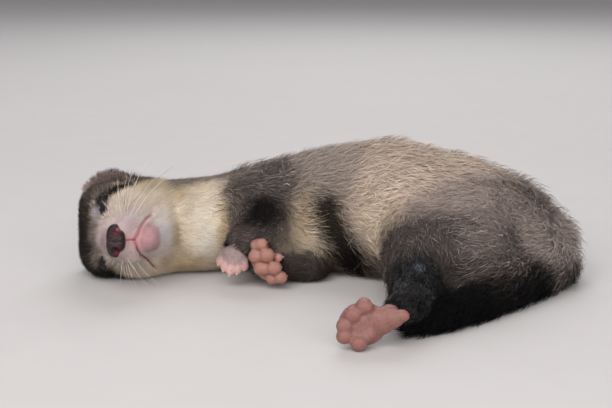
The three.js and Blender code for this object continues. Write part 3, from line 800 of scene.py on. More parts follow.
def makeSkin():
    mesh = voxelled(joinedFlesh(), skinSet["voxel"])
    points, triangles = largestPart(*arraysOf(mesh))
    edges = edgesOf(triangles)
    points = relaxed(points, edges, skinSet["soften"])
    body = smoothStep(*skinSet["faceEnds"], headLocal(points)[:, 0])
    body = np.maximum(body, smoothStep(*skinSet["headEnds"], lengthOf(points - headMiddle)))
    points = rounded(points, edges, skinSet["round"], hold=body)
    for spot, radius, rounds in skinSet["filled"]:
        points = relaxed(points, edges, rounds, hold=bell(lengthOf(points - spot), radius))
    weight, fraction, _ = followPaths(points)
    depth = measure("depth", weight, fraction) + skinSet["swell"] - skinSet["plump"] * body
    points = points - normalsOf(points, triangles) * depth[:, None]
    points = relaxed(points, edges, skinSet["settle"])
    mesh = triangleMesh("skin", points, triangles)
    finerFaces(mesh, onFace)
    finerFaces(mesh, onLines)
    points, triangles = arraysOf(mesh)
    bpy.data.meshes.remove(mesh)
    local = headLocal(points)
    hold = smoothStep(*skinSet["evenFrom"], local[:, 0]) * smoothStep(*skinSet["evenTo"], lengthOf(local))
    points = relaxed(points, edgesOf(triangles), skinSet["even"], hold=hold)
    points, tints = carveFace(points, triangles)
    keepAbove(points, skinSet["floorGap"])
    return points, triangles, tints


def carveFace(points, triangles):
    # the nose pad's seat, then the lines and soft forms of the face
    local = headLocal(points)
    square, soft = padPress["square"], padPress["soft"]
    seat = np.abs((local[:, 1] - padPress["up"]) / padPress["height"]) ** square
    seat = (seat + np.abs(local[:, 2] / padPress["across"]) ** square) ** (1 / square)
    pressed = smoothStep(1 + soft, 1 - soft * 0.4, seat) * (local[:, 0] > padPress["from"])
    over = np.maximum(local[:, 0] - padPress["level"], 0) * pressed
    points = points - over[:, None] * ahead
    points = relaxed(points, edgesOf(triangles), 3, hold=pressed * (1 - pressed) * 4)
    normals = normalsOf(points, triangles)
    tree = BVHTree.FromPolygons((points * mm).tolist(), triangles.tolist())
    for name, line in faceLines.items():
        drawn[name] = drawOn(tree, line)
    local = headLocal(points)
    reach = lineSet["faceReach"]
    near = smoothStep(reach, reach - lineSet["fade"], lengthOf(local))
    raised = np.zeros(len(points))
    for middle, radius, height in faceForms:
        raised += height * bell(lengthOf(mirrored(local) - middle), radius)
    found = faceDistances(local)
    mouth, philtrum, lid = found["mouth"], found["philtrum"], found["lid"]
    raised += lineSet["lipHeight"] * bell(mouth - lineSet["lipOut"], lineSet["lipWidth"])
    shallower = 1 - lineSet["leftShallower"] * smoothStep(*lineSet["left"], local[:, 2])
    raised -= lineSet["mouthDepth"] * shallower * bell(mouth, lineSet["mouthWidth"])
    raised -= lineSet["philtrumDepth"] * bell(philtrum, lineSet["philtrumWidth"])
    raised += lineSet["lidHeight"] * bell(lid - lineSet["lidOut"], lineSet["rimWidth"])
    raised -= lineSet["socketDepth"] * bell(lid - lineSet["socketOut"], lineSet["rimWidth"])
    raised -= lineSet["lidDepth"] * bell(lid, lineSet["lidWidth"])
    fold = jawFold["depth"] * bell(distanceTo(jawFold["line"], points), jawFold["width"])
    points = points + normals * (raised * near - fold)[:, None]
    weight, fraction, _ = followPaths(points)
    # painted shade: the skin under the coat darker than the hair
    tints = coatTint(points, weight, fraction) * skinShade
    for line, hue, outer, inner, strength in faceBlends:
        blend(tints, faceTints[hue], strength * near * smoothStep(outer, inner, found[line]))
    return points, tints


skinPoints, skinTriangles, skinTints = makeSkin()
skin = tintedPiece("skin", skinPoints, skinTriangles, skinTints, "skin")
skinUv = unwrap(skin)
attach(skin, "root")
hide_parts(*skinNodes)
print("ferret: skin", len(skinTriangles), "triangles")


# Nose pad: a dense rounded block with two comma nostrils and a middle groove

noseSet = {
    "width": 11.6, "height": 6.6, "thick": 5.0, "middle": (25.5, -1.35, 0.05), "square": 2.8,
    "narrow": 0.32, "hole": (-0.1, 3.1), "slit": [(-0.1, 3.1), (-0.6, 4.2), (-1.6, 5.2)],
    "holeWidth": 1.0, "slitWidth": 0.6, "holeDepth": 1.7, "slitDepth": 0.9, "rimHeight": 0.3,
    "rimOut": 1.2, "rimWidth": 0.4, "groove": 0.3, "grooveWidth": 0.35, "bulge": 0.75, "bend": 0.02,
    # where it narrows below the nostrils, and where its front begins
    "narrowFrom": (-0.2, -1.5), "front": (-0.3, 0.5), "rings": 72, "spokes": 110}
noseTints = tonesOf({
    "pad": (32, 12, 14), "rim": (18, 6, 7), "leftInner": (160, 88, 100), "rightInner": (112, 30, 42),
    "hollow": (44, 8, 14), "highlight": (52, 30, 34)})
# strengths of the colours, and where each lies
noseTone = {
    "rim": 0.7, "rimFrom": (0.6, 0.95), "highlight": 0.6, "highlightWidth": 1.1, "highlightFrom": (-3, -1),
    "inner": 0.85, "holeWidth": 0.95, "slitWidth": 0.55, "hollow": 0.9, "holeShadeWidth": 0.62}


def ballGrid(rings, spokes):
    # a closed ball of rings and spokes whose poles are single points
    points = [(0, 0, 1)]
    for i in range(1, rings):
        fall = math.pi * i / rings
        for k in range(spokes):
            turn = 2 * math.pi * k / spokes
            points.append((math.sin(fall) * math.cos(turn), math.sin(fall) * math.sin(turn), math.cos(fall)))
    points.append((0, 0, -1))
    last = len(points) - 1
    triangles = []
    for k in range(spokes):
        n = (k + 1) % spokes
        triangles.append((0, 1 + k, 1 + n))
        base = 1 + (rings - 2) * spokes
        triangles.append((last, base + n, base + k))
        for i in range(rings - 2):
            a, b = 1 + i * spokes, 1 + (i + 1) * spokes
            triangles.append((a + k, b + k, b + n))
            triangles.append((a + k, b + n, a + n))
    return np.array(points), np.array(triangles)


def makeNose():
    ball, triangles = ballGrid(noseSet["rings"], noseSet["spokes"])
    radial = lengthOf(ball[:, :2])
    direction = ball[:, :2] / np.maximum(radial, 1e-9)[:, None]
    square = noseSet["square"]
    reach = (np.abs(direction) ** square).sum(axis=1) ** (-1 / square)
    across = direction[:, 0] * reach * radial * noseSet["width"] / 2
    up = direction[:, 1] * reach * radial * noseSet["height"] / 2
    out = np.sign(ball[:, 2]) * np.abs(ball[:, 2]) ** noseSet["bulge"] * noseSet["thick"] / 2
    across = across * (1 - noseSet["narrow"] * smoothStep(*noseSet["narrowFrom"], up))
    side = np.abs(across)
    flat = np.stack([up, side], axis=1)
    hole = lengthOf(flat - noseSet["hole"])
    slit = distanceTo(noseSet["slit"], flat)
    front = smoothStep(*noseSet["front"], ball[:, 2])
    dip = noseSet["holeDepth"] * bell(hole, noseSet["holeWidth"])
    dip = np.maximum(dip, noseSet["slitDepth"] * bell(slit, noseSet["slitWidth"])) * front
    edge = np.minimum(hole - 0.4, slit) - noseSet["rimOut"]
    rim = noseSet["rimHeight"] * bell(edge, noseSet["rimWidth"]) * front
    groove = noseSet["groove"] * bell(side, noseSet["grooveWidth"]) * front
    out = out - dip + rim - groove - noseSet["bend"] * side ** 2
    local = np.stack([out, up, across], axis=1) + noseSet["middle"]
    tints = np.tile(noseTints["pad"], (len(local), 1))
    blend(tints, noseTints["rim"], noseTone["rim"] * smoothStep(*noseTone["rimFrom"], radial))
    # painted highlight along the middle groove of the wet pad
    highlight = noseTone["highlight"] * bell(side, noseTone["highlightWidth"]) * front
    blend(tints, noseTints["highlight"], highlight * smoothStep(*noseTone["highlightFrom"], up))
    pink = np.maximum(bell(hole + 0.1, noseTone["holeWidth"]), bell(slit, noseTone["slitWidth"])) * front
    inner = np.where(across[:, None] > 0, noseTints["leftInner"], noseTints["rightInner"])
    blend(tints, inner, noseTone["inner"] * pink)
    # painted shade deep in the nostril holes
    blend(tints, noseTints["hollow"], noseTone["hollow"] * bell(hole, noseTone["holeShadeWidth"]) * front)
    outward = np.linalg.det(headAxes[[2, 1, 0]]) > 0
    return inHead(local), triangles if outward else triangles[:, ::-1], tints


nose = tintedPiece("nosePad", *makeNose(), "nose")
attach(nose, "root")
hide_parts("nose")
print("ferret: nose pad made")


# Ears: shallow bowls with a pale rim and a fold at the base

def axesOf(first, third):
    a = unit(first)
    b = unit(np.cross(third, a))
    return np.array([a, b, np.cross(a, b)])


earSet = {
    "ear_left": {
        "place": (2.0, 4.9, 14.5), "along": (-1, 0.1, -0.04), "facing": (-0.12, -0.9, 0.14),
        "width": 19.6, "height": 13.4, "depth": 3.4, "thick": 1.2},
    "ear_right": {
        "place": (-7.4, 11, -12.6), "along": (-0.9, 0.3, 0.15), "facing": (-0.35, -0.6, -0.6),
        "width": 15.5, "height": 13.0, "depth": 2.2, "thick": 1.3},
}
# what both ears share: heights of the ripple and the fold, and the rest as shares of the ear
earForm = {
    "ripple": 0.35, "fold": 0.5, "foldPlace": (0.25, -0.35), "foldWidth": 0.22, "notch": 0.1,
    "rimThin": (1.25, 0.6), "wavy": 0.03}
earTints = tonesOf({
    "rim": (172, 152, 146), "inner": (120, 105, 99), "deep": (80, 66, 62), "outer": (92, 82, 76)})


def makeEar(spec):
    ball, triangles = ballGrid(64, 96)
    x, y, z = ball.T
    spread = x * x + y * y
    foldX, foldY = earForm["foldPlace"]
    bowl = spec["depth"] * (spread - 1) + earForm["ripple"] * np.sin(5 * x + 1) * (1 - spread)
    bowl = bowl + earForm["fold"] * bell(np.hypot(x - foldX, y - foldY), earForm["foldWidth"])
    notch = 1 - earForm["notch"] * np.maximum(0, -y)
    middle, edge = earForm["rimThin"]
    rim = spec["thick"] * 0.5 * (middle - edge * spread)
    wavy = 1 + earForm["wavy"] * np.sin(3 * np.arctan2(y, x) + 0.6)
    local = np.stack(
        [x * spec["width"] * 0.5 * notch * wavy, y * spec["height"] * 0.5 * wavy, bowl + z * rim], axis=1)
    points = inHead(spec["place"]) + local @ axesOf(spec["along"], spec["facing"])
    tints = np.tile(earTints["outer"], (len(points), 1))
    inner = smoothStep(-0.1, 0.2, z)
    blend(tints, earTints["inner"], inner)
    # painted shade deep in the bowl of the ear
    blend(tints, earTints["deep"], inner * smoothStep(0.7, 0.1, spread))
    blend(tints, earTints["rim"], smoothStep(0.66, 0.88, spread))
    keepAbove(points, skinSet["floorGap"])
    return points, triangles, tints


# Paws: palm, pads and toes joined by voxels, then softened; each is described in its own axes,
# first towards the toes, third out of the sole. A paw whose sole shows has its fingers and the
# masses of its pads one by one, and another has toes in a fan.

pawSet = {
    "forepaw_left": {
        "place": (-32.6, 4.0, 12.0), "ahead": (-0.25, -0.35, -0.9), "sole": (0.1, 0.9, -0.35),
        "palm": (8.2, 9.8, 6.2), "toe": 4.4, "fan": 7, "curl": 0.6, "padHeight": 1.2, "taper": 0.1,
        "toeRadius": 1.6, "soften": 20, "hues": {
            "skin": (200, 166, 162), "pad": (196, 140, 132), "crease": (168, 96, 94),
            "back": (136, 122, 120), "toeHighlight": (208, 160, 150)}},
    "forepaw_right": {
        "place": (-20.9, 2.8, 9.0), "ahead": (1, 0, 0), "sole": (0, -1, 0),
        "palm": (8.4, 15, 7.0), "fingers": [
            ((-4.0, 7.0, 0.6), (-1.8, 7.8, 1.4), 2.1), ((-4.2, 3.2, 1.0), (0.3, 4.0, 2.0), 2.6),
            ((-2.4, -1.2, 1.2), (2.8, -0.6, 2.2), 2.6), ((1.6, -5.0, 1.0), (5.0, -4.2, 1.8), 2.3),
            ((1.2, 2.0, -1.4), (4.0, 2.3, -0.6), 1.6)],
        "mass": [
            ((-2.6, 2.8, -0.8), (3.6, 6.2, 3.2)), ((0.2, -2.2, -1.0), (4.2, 4.2, 2.6)),
            ((-0.6, -0.4, -3.2), (3.6, 3.8, 3.2)), ((-0.4, -0.6, -5.6), (2.8, 3.0, 3.0))],
        "soften": 24, "hues": {
            "skin": (160, 114, 102), "pad": (150, 112, 94), "crease": (98, 48, 42),
            "back": (74, 62, 58), "toeHighlight": (196, 142, 132)}},
    "hindfoot_left": {
        "place": (13.2, -56.3, 8.2), "ahead": (-1, 0, 0), "sole": (0, -1, 0),
        "palm": (15, 13.5, 7.5), "fingers": [
            ((1.6, -2.5, 1.6), (3.0, -5.6, 2.0), 2.6), ((3.0, -1.2, 2.0), (6.6, -3.0, 2.4), 2.5),
            ((4.0, 1.2, 2.0), (9.2, 0.6, 2.6), 2.5), ((3.0, 3.0, 2.4), (9.2, 3.8, 3.0), 2.5),
            ((1.4, 3.2, 2.6), (4.8, 5.8, 4.0), 2.5)],
        "mass": [
            ((3.2, 0.8, 0.8), (7.6, 7.0, 3.6)), ((-2.4, -0.6, 1.8), (4.6, 4.4, 3.0)),
            ((-5.6, -1.6, 2.8), (3.6, 3.1, 2.5)), ((-8.2, -2.6, 3.4), (2.6, 2.0, 1.9)),
            ((-5, -1.6, -1.6), (3.6, 3.0, 2.6))],
        "soften": 60, "hues": {
            "skin": (134, 94, 86), "pad": (142, 92, 84), "crease": (92, 50, 45),
            "back": (74, 62, 58), "toeHighlight": (152, 112, 104)}},
    "hindfoot_right": {
        "place": (37.4, -16.6, 3.6), "ahead": (-0.95, -0.3, 0), "sole": (-0.1, -0.2, -0.9),
        "palm": (13, 9.4, 5.6), "toe": 5.4, "fan": 9, "curl": 0.4, "padHeight": 1.2, "taper": 0.3,
        "toeRadius": 1.7, "soften": 20, "hues": {
            "skin": (180, 128, 118), "pad": (192, 124, 116), "crease": (140, 82, 76),
            "back": (80, 68, 64), "toeHighlight": (196, 146, 138)}},
}
# the form of a plain paw, mostly as shares of its palm
plainPaw = {
    "palm": (0.5, 0.48, 0.44), "palmDown": -0.2, "wristBalls": 8, "wristStep": 0.11,
    "wrist": (0.44, 0.5, 0.42), "wristDown": -0.4, "padAhead": 0.14, "padBack": 0.8, "padAcross": 0.2,
    "padOut": 0.2, "padSize": (2.2, 1.9), "padFlat": 0.75, "heel": (-0.3, 0.14), "heelOut": 0.5,
    "heelSize": (2.4, 2.0, 1.4), "rootAhead": 0.2, "rootBack": 0.55, "rootAcross": 0.19, "rootOut": 0.2,
    "outerShorter": 0.09, "longerAcross": 0.03}
# the form of every toe, and of the pad under its tip
toeForm = {
    "balls": 7, "taper": 0.1, "arch": 0.4, "padBack": 0.3, "padOut": 0.4, "pad": (1.05, 0.95, 0.75)}


def toesOf(spec):
    # root, tip, way ahead and radius of each toe, in the paw's axes
    if "fingers" in spec:
        return [
            (np.array(root), np.array(tip), unit(np.subtract(tip, root)), radius)
            for root, tip, radius in spec["fingers"]]
    length, width, _ = spec["palm"]
    toes = []
    for n in (-2, -1, 0, 1, 2):
        angle = math.radians(n * spec["fan"])
        way = np.array([math.cos(angle), math.sin(angle), 0])
        front = length * plainPaw["rootAhead"] - plainPaw["rootBack"] * abs(n)
        root = np.array([front, n * width * plainPaw["rootAcross"], plainPaw["rootOut"]])
        reach = spec["toe"] * (1 - plainPaw["outerShorter"] * n * n + plainPaw["longerAcross"] * n)
        toes.append((root, root + way * reach + (0, 0, spec["curl"]), way, spec["toeRadius"]))
    return toes


def plainBlobs(spec):
    # the palm, the wrist that tapers back from it, four pads and the heel's pad
    palm = np.array(spec["palm"])
    length, width, thick = spec["palm"]
    blobs = [((0, 0, plainPaw["palmDown"]), palm * plainPaw["palm"])]
    balls = plainPaw["wristBalls"]
    for k in range(balls):
        size = thick * (1 - spec["taper"] * k / (balls - 1))
        middle = (-length * plainPaw["wristStep"] * k, 0, plainPaw["wristDown"])
        blobs.append((middle, size * np.array(plainPaw["wrist"])))
    out, height = thick * plainPaw["padOut"], spec["padHeight"]
    for n in (-1.5, -0.5, 0.5, 1.5):
        front = length * plainPaw["padAhead"] - plainPaw["padBack"] * abs(n)
        middle = (front, n * width * plainPaw["padAcross"], out + height * 0.5)
        blobs.append((middle, (*plainPaw["padSize"], height * plainPaw["padFlat"])))
    back, across = plainPaw["heel"]
    blobs.append(((length * back, width * across, out + plainPaw["heelOut"]), plainPaw["heelSize"]))
    return blobs


def pawBlobs(spec):
    # (middle, radii) of each rounded form
    blobs = list(spec["mass"]) if "mass" in spec else plainBlobs(spec)
    for root, tip, way, radius in toesOf(spec):
        for t in np.linspace(0, 1, toeForm["balls"]):
            size = radius * (1 - toeForm["taper"] * t)
            arch = toeForm["arch"] * math.sin(math.pi * t)
            blobs.append((root + (tip - root) * t - (0, 0, arch), (size, size, size)))
        under = tip - way * toeForm["padBack"] + (0, 0, radius * toeForm["padOut"])
        blobs.append((under, radius * np.array(toeForm["pad"])))
    return blobs


pawGrain = {
    "voxel": 0.34, "hollowRounds": 12, "padHollow": (0, -0.22), "padOut": (0.2, 1.6),
    "creaseHollow": (0.04, 0.26), "crease": 0.85, "highlightReach": (2.6, 1.4), "tip": 0.6,
    # where the back of a paw begins, of one whose sole shows and of a plain one
    "back": 0.8, "soleBack": (-1.5, -4), "plainBack": (0.6, -1.6), "backEnd": 0.55,
    "wristBack": (-0.3, -0.75), "wrist": 0.8}


def makePaw(name, spec):
    ball, ballTriangles = ballGrid(12, 18)
    axes = axesOf(spec["ahead"], spec["sole"])
    blobs = pawBlobs(spec)
    local = np.concatenate([ball * radii + middle for middle, radii in blobs])
    triangles = np.concatenate([ballTriangles + k * len(ball) for k in range(len(blobs))])
    draft = triangleMesh("pawDraft", spec["place"] + local @ axes, triangles)
    points, triangles = largestPart(*arraysOf(voxelled(draft, pawGrain["voxel"])))
    edges = edgesOf(triangles)
    points = rounded(points, edges, spec["soften"])
    smooth = relaxed(points, edges, pawGrain["hollowRounds"])
    # above 0 in the creases and below 0 on the pads
    hollow = ((smooth - points) * normalsOf(points, triangles)).sum(axis=1)
    local = (points - spec["place"]) @ axes.T
    tones = tonesOf(spec["hues"])
    tints = np.tile(tones["skin"], (len(points), 1))
    pads = smoothStep(*pawGrain["padHollow"], hollow) * smoothStep(*pawGrain["padOut"], local[:, 2])
    blend(tints, tones["pad"], pads)
    # painted highlight on the toe tips, where their pads bulge
    tips = np.min([lengthOf(local - tip) for _, tip, _, _ in toesOf(spec)], axis=0)
    blend(tints, tones["toeHighlight"], pawGrain["tip"] * smoothStep(*pawGrain["highlightReach"], tips))
    if "mass" in spec:
        back = smoothStep(*pawGrain["soleBack"], local[:, 2])
    else:
        length = spec["palm"][0]
        back = smoothStep(*pawGrain["plainBack"], local[:, 2])
        back = back * smoothStep(length * pawGrain["backEnd"], 0, local[:, 0])
        wrist = pawGrain["wrist"] * smoothStep(*pawGrain["wristBack"], local[:, 0] / length)
        back = np.maximum(back, wrist)
    blend(tints, tones["back"], pawGrain["back"] * back)
    # painted shade darkening the creases between the pads and the toes
    blend(tints, tones["crease"], pawGrain["crease"] * smoothStep(*pawGrain["creaseHollow"], hollow))
    keepAbove(points, skinSet["floorGap"])
    paw = tintedPiece(name, points, triangles, tints, "paw")
    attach(paw, "root")
    return paw, points, triangles, tints


pieceNames = {
    "forepaw_left": "forepawLeft", "forepaw_right": "forepawRight", "hindfoot_left": "hindfootLeft",
    "hindfoot_right": "hindfootRight", "ear_left": "earLeft", "ear_right": "earRight"}
# what the short fur grows on: piece, points, triangles and tints
furred = {}
for node, spec in pawSet.items():
    furred[node] = makePaw(pieceNames[node], spec)
    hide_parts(node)
for node, spec in earSet.items():
    shape = makeEar(spec)
    ear = tintedPiece(pieceNames[node], *shape, "ear")
    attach(ear, "root")
    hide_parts(node)
    furred[node] = (ear, *shape)
print("ferret: paws and ears made")


# Claws and whiskers: one node tree draws a tapered strand along each path

strandSet = {
    "claws": {"Root Radius": 0.32, "Tip Radius": 0.05, "Sides": 8, "Steps": 8},
    "whiskersPale": {"Root Radius": 0.11, "Tip Radius": 0.03, "Sides": 5, "Steps": 26},
    "whiskersDark": {"Root Radius": 0.075, "Tip Radius": 0.02, "Sides": 5, "Steps": 26},
}


def makeStrandTree(name, material):
    tree = bpy.data.node_groups.new(name, "GeometryNodeTree")
    for label, side, kind in (
            ("Geometry", "INPUT", "Geometry"), ("Root Radius", "INPUT", "Float"),
            ("Tip Radius", "INPUT", "Float"), ("Sides", "INPUT", "Int"), ("Steps", "INPUT", "Int"),
            ("Geometry", "OUTPUT", "Geometry")):
        tree.interface.new_socket(label, in_out=side, socket_type="NodeSocket" + kind)
    given = addNode(tree, "NodeGroupInput")
    out = addNode(tree, "NodeGroupOutput")
    curve = addNode(tree, "GeometryNodeMeshToCurve")
    smooth = addNode(tree, "GeometryNodeCurveSplineType", spline_type="CATMULL_ROM")
    resample = addNode(tree, "GeometryNodeResampleCurve")
    along = addNode(tree, "GeometryNodeSplineParameter")
    taper = addNode(tree, "ShaderNodeMapRange")
    profile = addNode(tree, "GeometryNodeCurvePrimitiveCircle", in_Radius=1)
    sweep = addNode(tree, "GeometryNodeCurveToMesh", in_Fill_Caps=True)
    realize = addNode(tree, "GeometryNodeRealizeInstances")
    finished = addNode(tree, "GeometryNodeSetMaterial", in_Material=material)
    wire(
        tree, (given, "Geometry", curve, "Mesh"), (curve, "Curve", smooth, "Curve"),
        (smooth, "Curve", resample, "Curve"), (given, "Steps", resample, "Count"),
        (along, "Factor", taper, "Value"), (given, "Root Radius", taper, "To Min"),
        (given, "Tip Radius", taper, "To Max"), (given, "Sides", profile, "Resolution"),
        (resample, "Curve", sweep, "Curve"), (profile, "Curve", sweep, "Profile Curve"),
        (taper, "Result", sweep, "Scale"), (sweep, "Mesh", realize, "Geometry"),
        (realize, "Geometry", finished, "Geometry"), (finished, "Geometry", out, "Geometry"))
    return tree


def makeStrands(name, paths, material):
    points = [p for path in paths for p in path]
    edges, start = [], 0
    for path in paths:
        edges += [(start + k, start + k + 1) for k in range(len(path) - 1)]
        start += len(path)
    mesh = bpy.data.meshes.new(name)
    mesh.from_pydata([tuple(np.asarray(p) * mm) for p in points], edges, [])
    draft = newObject("strandDraft", mesh)
    tree = makeStrandTree(name, material)
    modifier = draft.modifiers.new("strands", "NODES")
    modifier.node_group = tree
    sizes = strandSet[name]
    for item in tree.interface.items_tree:
        if item.in_out == "INPUT" and item.name in sizes:
            value = sizes[item.name]
            modifier[item.identifier] = value * mm if "Radius" in item.name else value
    evaluated = draft.evaluated_get(bpy.context.evaluated_depsgraph_get())
    result = bpy.data.meshes.new_from_object(evaluated)
    draft.modifiers.remove(modifier)
    bpy.data.objects.remove(draft)
    result.polygons.foreach_set("use_smooth", np.ones(len(result.polygons), bool))
    piece = newObject(name, result)
    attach(piece, "root")


clawSet = {"from": 0.6, "length": 1.0, "drop": -0.5, "curve": 0.6, "lowest": 0.5}


def clawPaths():
    paths = []
    for spec in pawSet.values():
        axes = axesOf(spec["ahead"], spec["sole"])
        for _, tip, way, radius in toesOf(spec):
            line = []
            for t in np.linspace(0, 1, 5):
                bend = np.array([0, 0, clawSet["drop"] + clawSet["curve"] * t * t])
                reach = radius * clawSet["from"] + clawSet["length"] * t
                line.append(spec["place"] + (tip + way * reach + bend) @ axes)
            line = np.array(line)
            keepAbove(line, clawSet["lowest"])
            paths.append(line)
    return paths


whiskerSet = {
    # root in the head's axes, way it leaves, length, share that bends towards the crown;
    # the right side's are the left's mirrored, and shorter
    "rightShare": 0.62, "sweepBack": 0.25, "sunk": 0.03, "lowest": 0.3,
    "pale": [
        ((20.5, -2.4, 7.4), (0.25, 0.15, 1), 15, -0.05), ((19.5, -5.2, 7.6), (0.2, -0.35, 1), 16, -0.3),
        ((17.8, -3.6, 8.4), (0, -0.1, 1), 19, -0.25), ((21.4, -4.6, 5.4), (0.6, -0.3, 0.8), 9, -0.2),
        ((16.4, -6.6, 9.4), (-0.1, -0.5, 1), 17, -0.3),
        ((11.4, -0.8, 11.0), (0.1, -0.02, 1), 11, -0.1), ((12.0, -1.6, 10.8), (0.1, -0.06, 1), 14, -0.16),
        ((12.4, 0.8, 10.2), (0.2, 0.1, 1), 5, 0.1), ((13.4, 2.4, 9.2), (0.2, 0.3, 1), 4.5, 0.2),
        ((11.0, 1.6, 11.0), (0.1, 0.16, 1), 4.2, 0.1), ((10.4, 0.2, 12.0), (0.1, 0, 1), 4.6, -0.1),
        ((12.6, 3.6, 9.4), (0.3, 0.5, 1), 3.6, 0.2), ((9.6, -2.4, 12.6), (0, -0.1, 1), 5, -0.2)],
    "dark": [
        ((11.8, -1.2, 10.9), (0.12, -0.12, 1), 10, -0.1), ((14.4, -2.4, 9.4), (0.1, -0.6, 0.9), 20, -0.3),
        ((12.4, 9.4, 8.6), (0.1, 0.4, 1), 8, 0.1)],
}
skinTree = BVHTree.FromPolygons((skinPoints * mm).tolist(), skinTriangles.tolist())


def whiskerPaths(hairs):
    paths = []
    for root, way, length, bend in hairs:
        for side in (1, -1):
            mirror = np.array([1, 1, side])
            start = inHead(root * mirror)
            start = np.array(skinTree.find_nearest(Vector(start * mm))[0]) / mm
            direction = unit(way * mirror) @ headAxes
            reach = length * (1 if side == 1 else whiskerSet["rightShare"])
            bent = (crownward * bend - ahead * whiskerSet["sweepBack"]) * reach
            line = np.array([
                start + direction * reach * (t - whiskerSet["sunk"]) + bent * t * t
                for t in np.linspace(0, 1, 8)])
            keepAbove(line, whiskerSet["lowest"])
            paths.append(line)
    return paths


makeStrands("claws", clawPaths(), materials["claw"])
makeStrands("whiskersPale", whiskerPaths(whiskerSet["pale"]), materials["whiskerPale"])
makeStrands("whiskersDark", whiskerPaths(whiskerSet["dark"]), materials["whiskerDark"])
print("ferret: claws and whiskers made")


# Coat: solid tapered tufts lying along the body; spikes are straight, locks bend once

furSet = {
    # how near to the lines of the face the fur begins, and stands full
    "clear": {"mouth": (0.5, 1.4), "lid": (1.1, 2.1), "philtrum": (0.3, 0.9)},
    # the lip, the nose pad and the bridge: middle and radii in the head's axes, the share of
    # the fur that is left, and where it thins
    "thin": [
        ((21, -11, 0.4), (5, 3.8, 5), 0.1, 0.55, 1.3), (noseSet["middle"], (5, 3.5, 6.1), 0, 0.98, 1.1),
        ((24, -5, 0), (4, 4, 4), 0.3, 0.6, 1.2)],
    # denser towards the muzzle, and thin under the body, below this height
    "denser": 1.8, "denserFrom": (0, 12), "under": 1.2, "underShare": 0.35}
coatSet = {
    "seed": 20, "sink": 0.25, "uvPatch": 0.003, "clump": 9, "clumpPull": 0.22, "normalBlend": 0.8,
    "lowest": 0.06, "waves": 6, "driftSize": 9,
    # a tuft's form: how far its tip and its bend rise and sway, and how thick and how wide it is
    "tipRise": 0.62, "bendRise": 0.24, "sway": 0.1, "thickness": 0.8, "bendSize": (0.8, 0.7),
    # ranges that multiply each hair's length, lift and width
    "lengths": (0.55, 1.25), "lifts": (0.4, 1.8), "widths": (0.75, 1.3), "shortEven": 0.7,
    # how far the hairs stray from their colours and their lie, and how much more on the body
    "mixed": 0.13, "stray": 0.23, "bodyStray": 1.45,
    # flatter along the top of the back, between these heights, and longer in the guard hairs
    "topFlat": 0.38, "top": (33, 41), "lockLonger": 1.25, "lockLifted": 1.15,
    "perPiece": {"spike": 46000, "lock": 18000}}
tuftShapes = {
    # rings of three corners below the tip, as corner lists and sizes of the faces
    "spike": {"corners": [0, 1, 3, 1, 2, 3, 2, 0, 3, 2, 1, 0], "sizes": [3, 3, 3, 3], "rings": 1},
    "lock": {
        "corners": [0, 1, 4, 3, 1, 2, 5, 4, 2, 0, 3, 5, 3, 4, 6, 4, 5, 6, 5, 3, 6, 0, 2, 1],
        "sizes": [4, 4, 4, 3, 3, 3, 3], "rings": 2}}
coatCounts = {
    "head": {"spike": 88000}, "neck": {"spike": 36000}, "trunk": {"spike": 78000, "lock": 18500},
    "tail": {"spike": 9000, "lock": 8000}, "hindLegLeft": {"spike": 21000, "lock": 4500},
    "hindLegRight": {"spike": 7000}, "foreLegLeft": {"spike": 13000, "lock": 1500},
    "foreLegRight": {"spike": 7000}}
# places where the hair stands out: (row place, radius, longer by, lifted by degrees)
wisps = [
    ((-71.4, 19.6, 35), 2.6, 2.2, 75), ((-62, 24, 36), 6, 0.6, 18), ((30, 33, 44), 7, 0.25, 4),
    ((62, 22, 32), 14, 0.35, 18), ((82, 8, 20), 9, 0.4, 18), ((-80, 3.6, 19), 4.5, 0.9, 12),
    ((-57.6, 3.4, 19), 5, 0.9, 26), ((-84, 6, 12), 7, 0.6, 10)]
random = np.random.default_rng(coatSet["seed"])
wavePhases = random.uniform(0, 6.28, (coatSet["waves"], 3))
waveTurns = random.normal(0, 1, (coatSet["waves"], 3))


def drift(points, size):
    # a smooth wandering vector, about `size` millimetres from one turn to the next
    total = np.zeros_like(points)
    for k in range(coatSet["waves"]):
        phase = points @ waveTurns[k] / size
        for axis in range(3):
            total[:, axis] += np.sin(phase * (1 + 0.3 * k) + wavePhases[k, axis])
    return total / 3


def clumped(root, tip):
    # tips drawn towards a neighbour's, so that the hair parts into small locks
    count = len(root)
    chosen = np.arange(0, count, coatSet["clump"])
    tree = KDTree(len(chosen))
    for n, k in enumerate(chosen):
        tree.insert(root[k], n)
    tree.balance()
    leader = chosen[np.fromiter((tree.find(place)[1] for place in root), int, count)]
    pull = coatSet["clumpPull"] * random.uniform(0.3, 1.3, count)
    close = smoothStep(2.4, 0.8, lengthOf(root[leader] - root))
    return tip + (tip[leader] - tip) * (pull * close)[:, None]


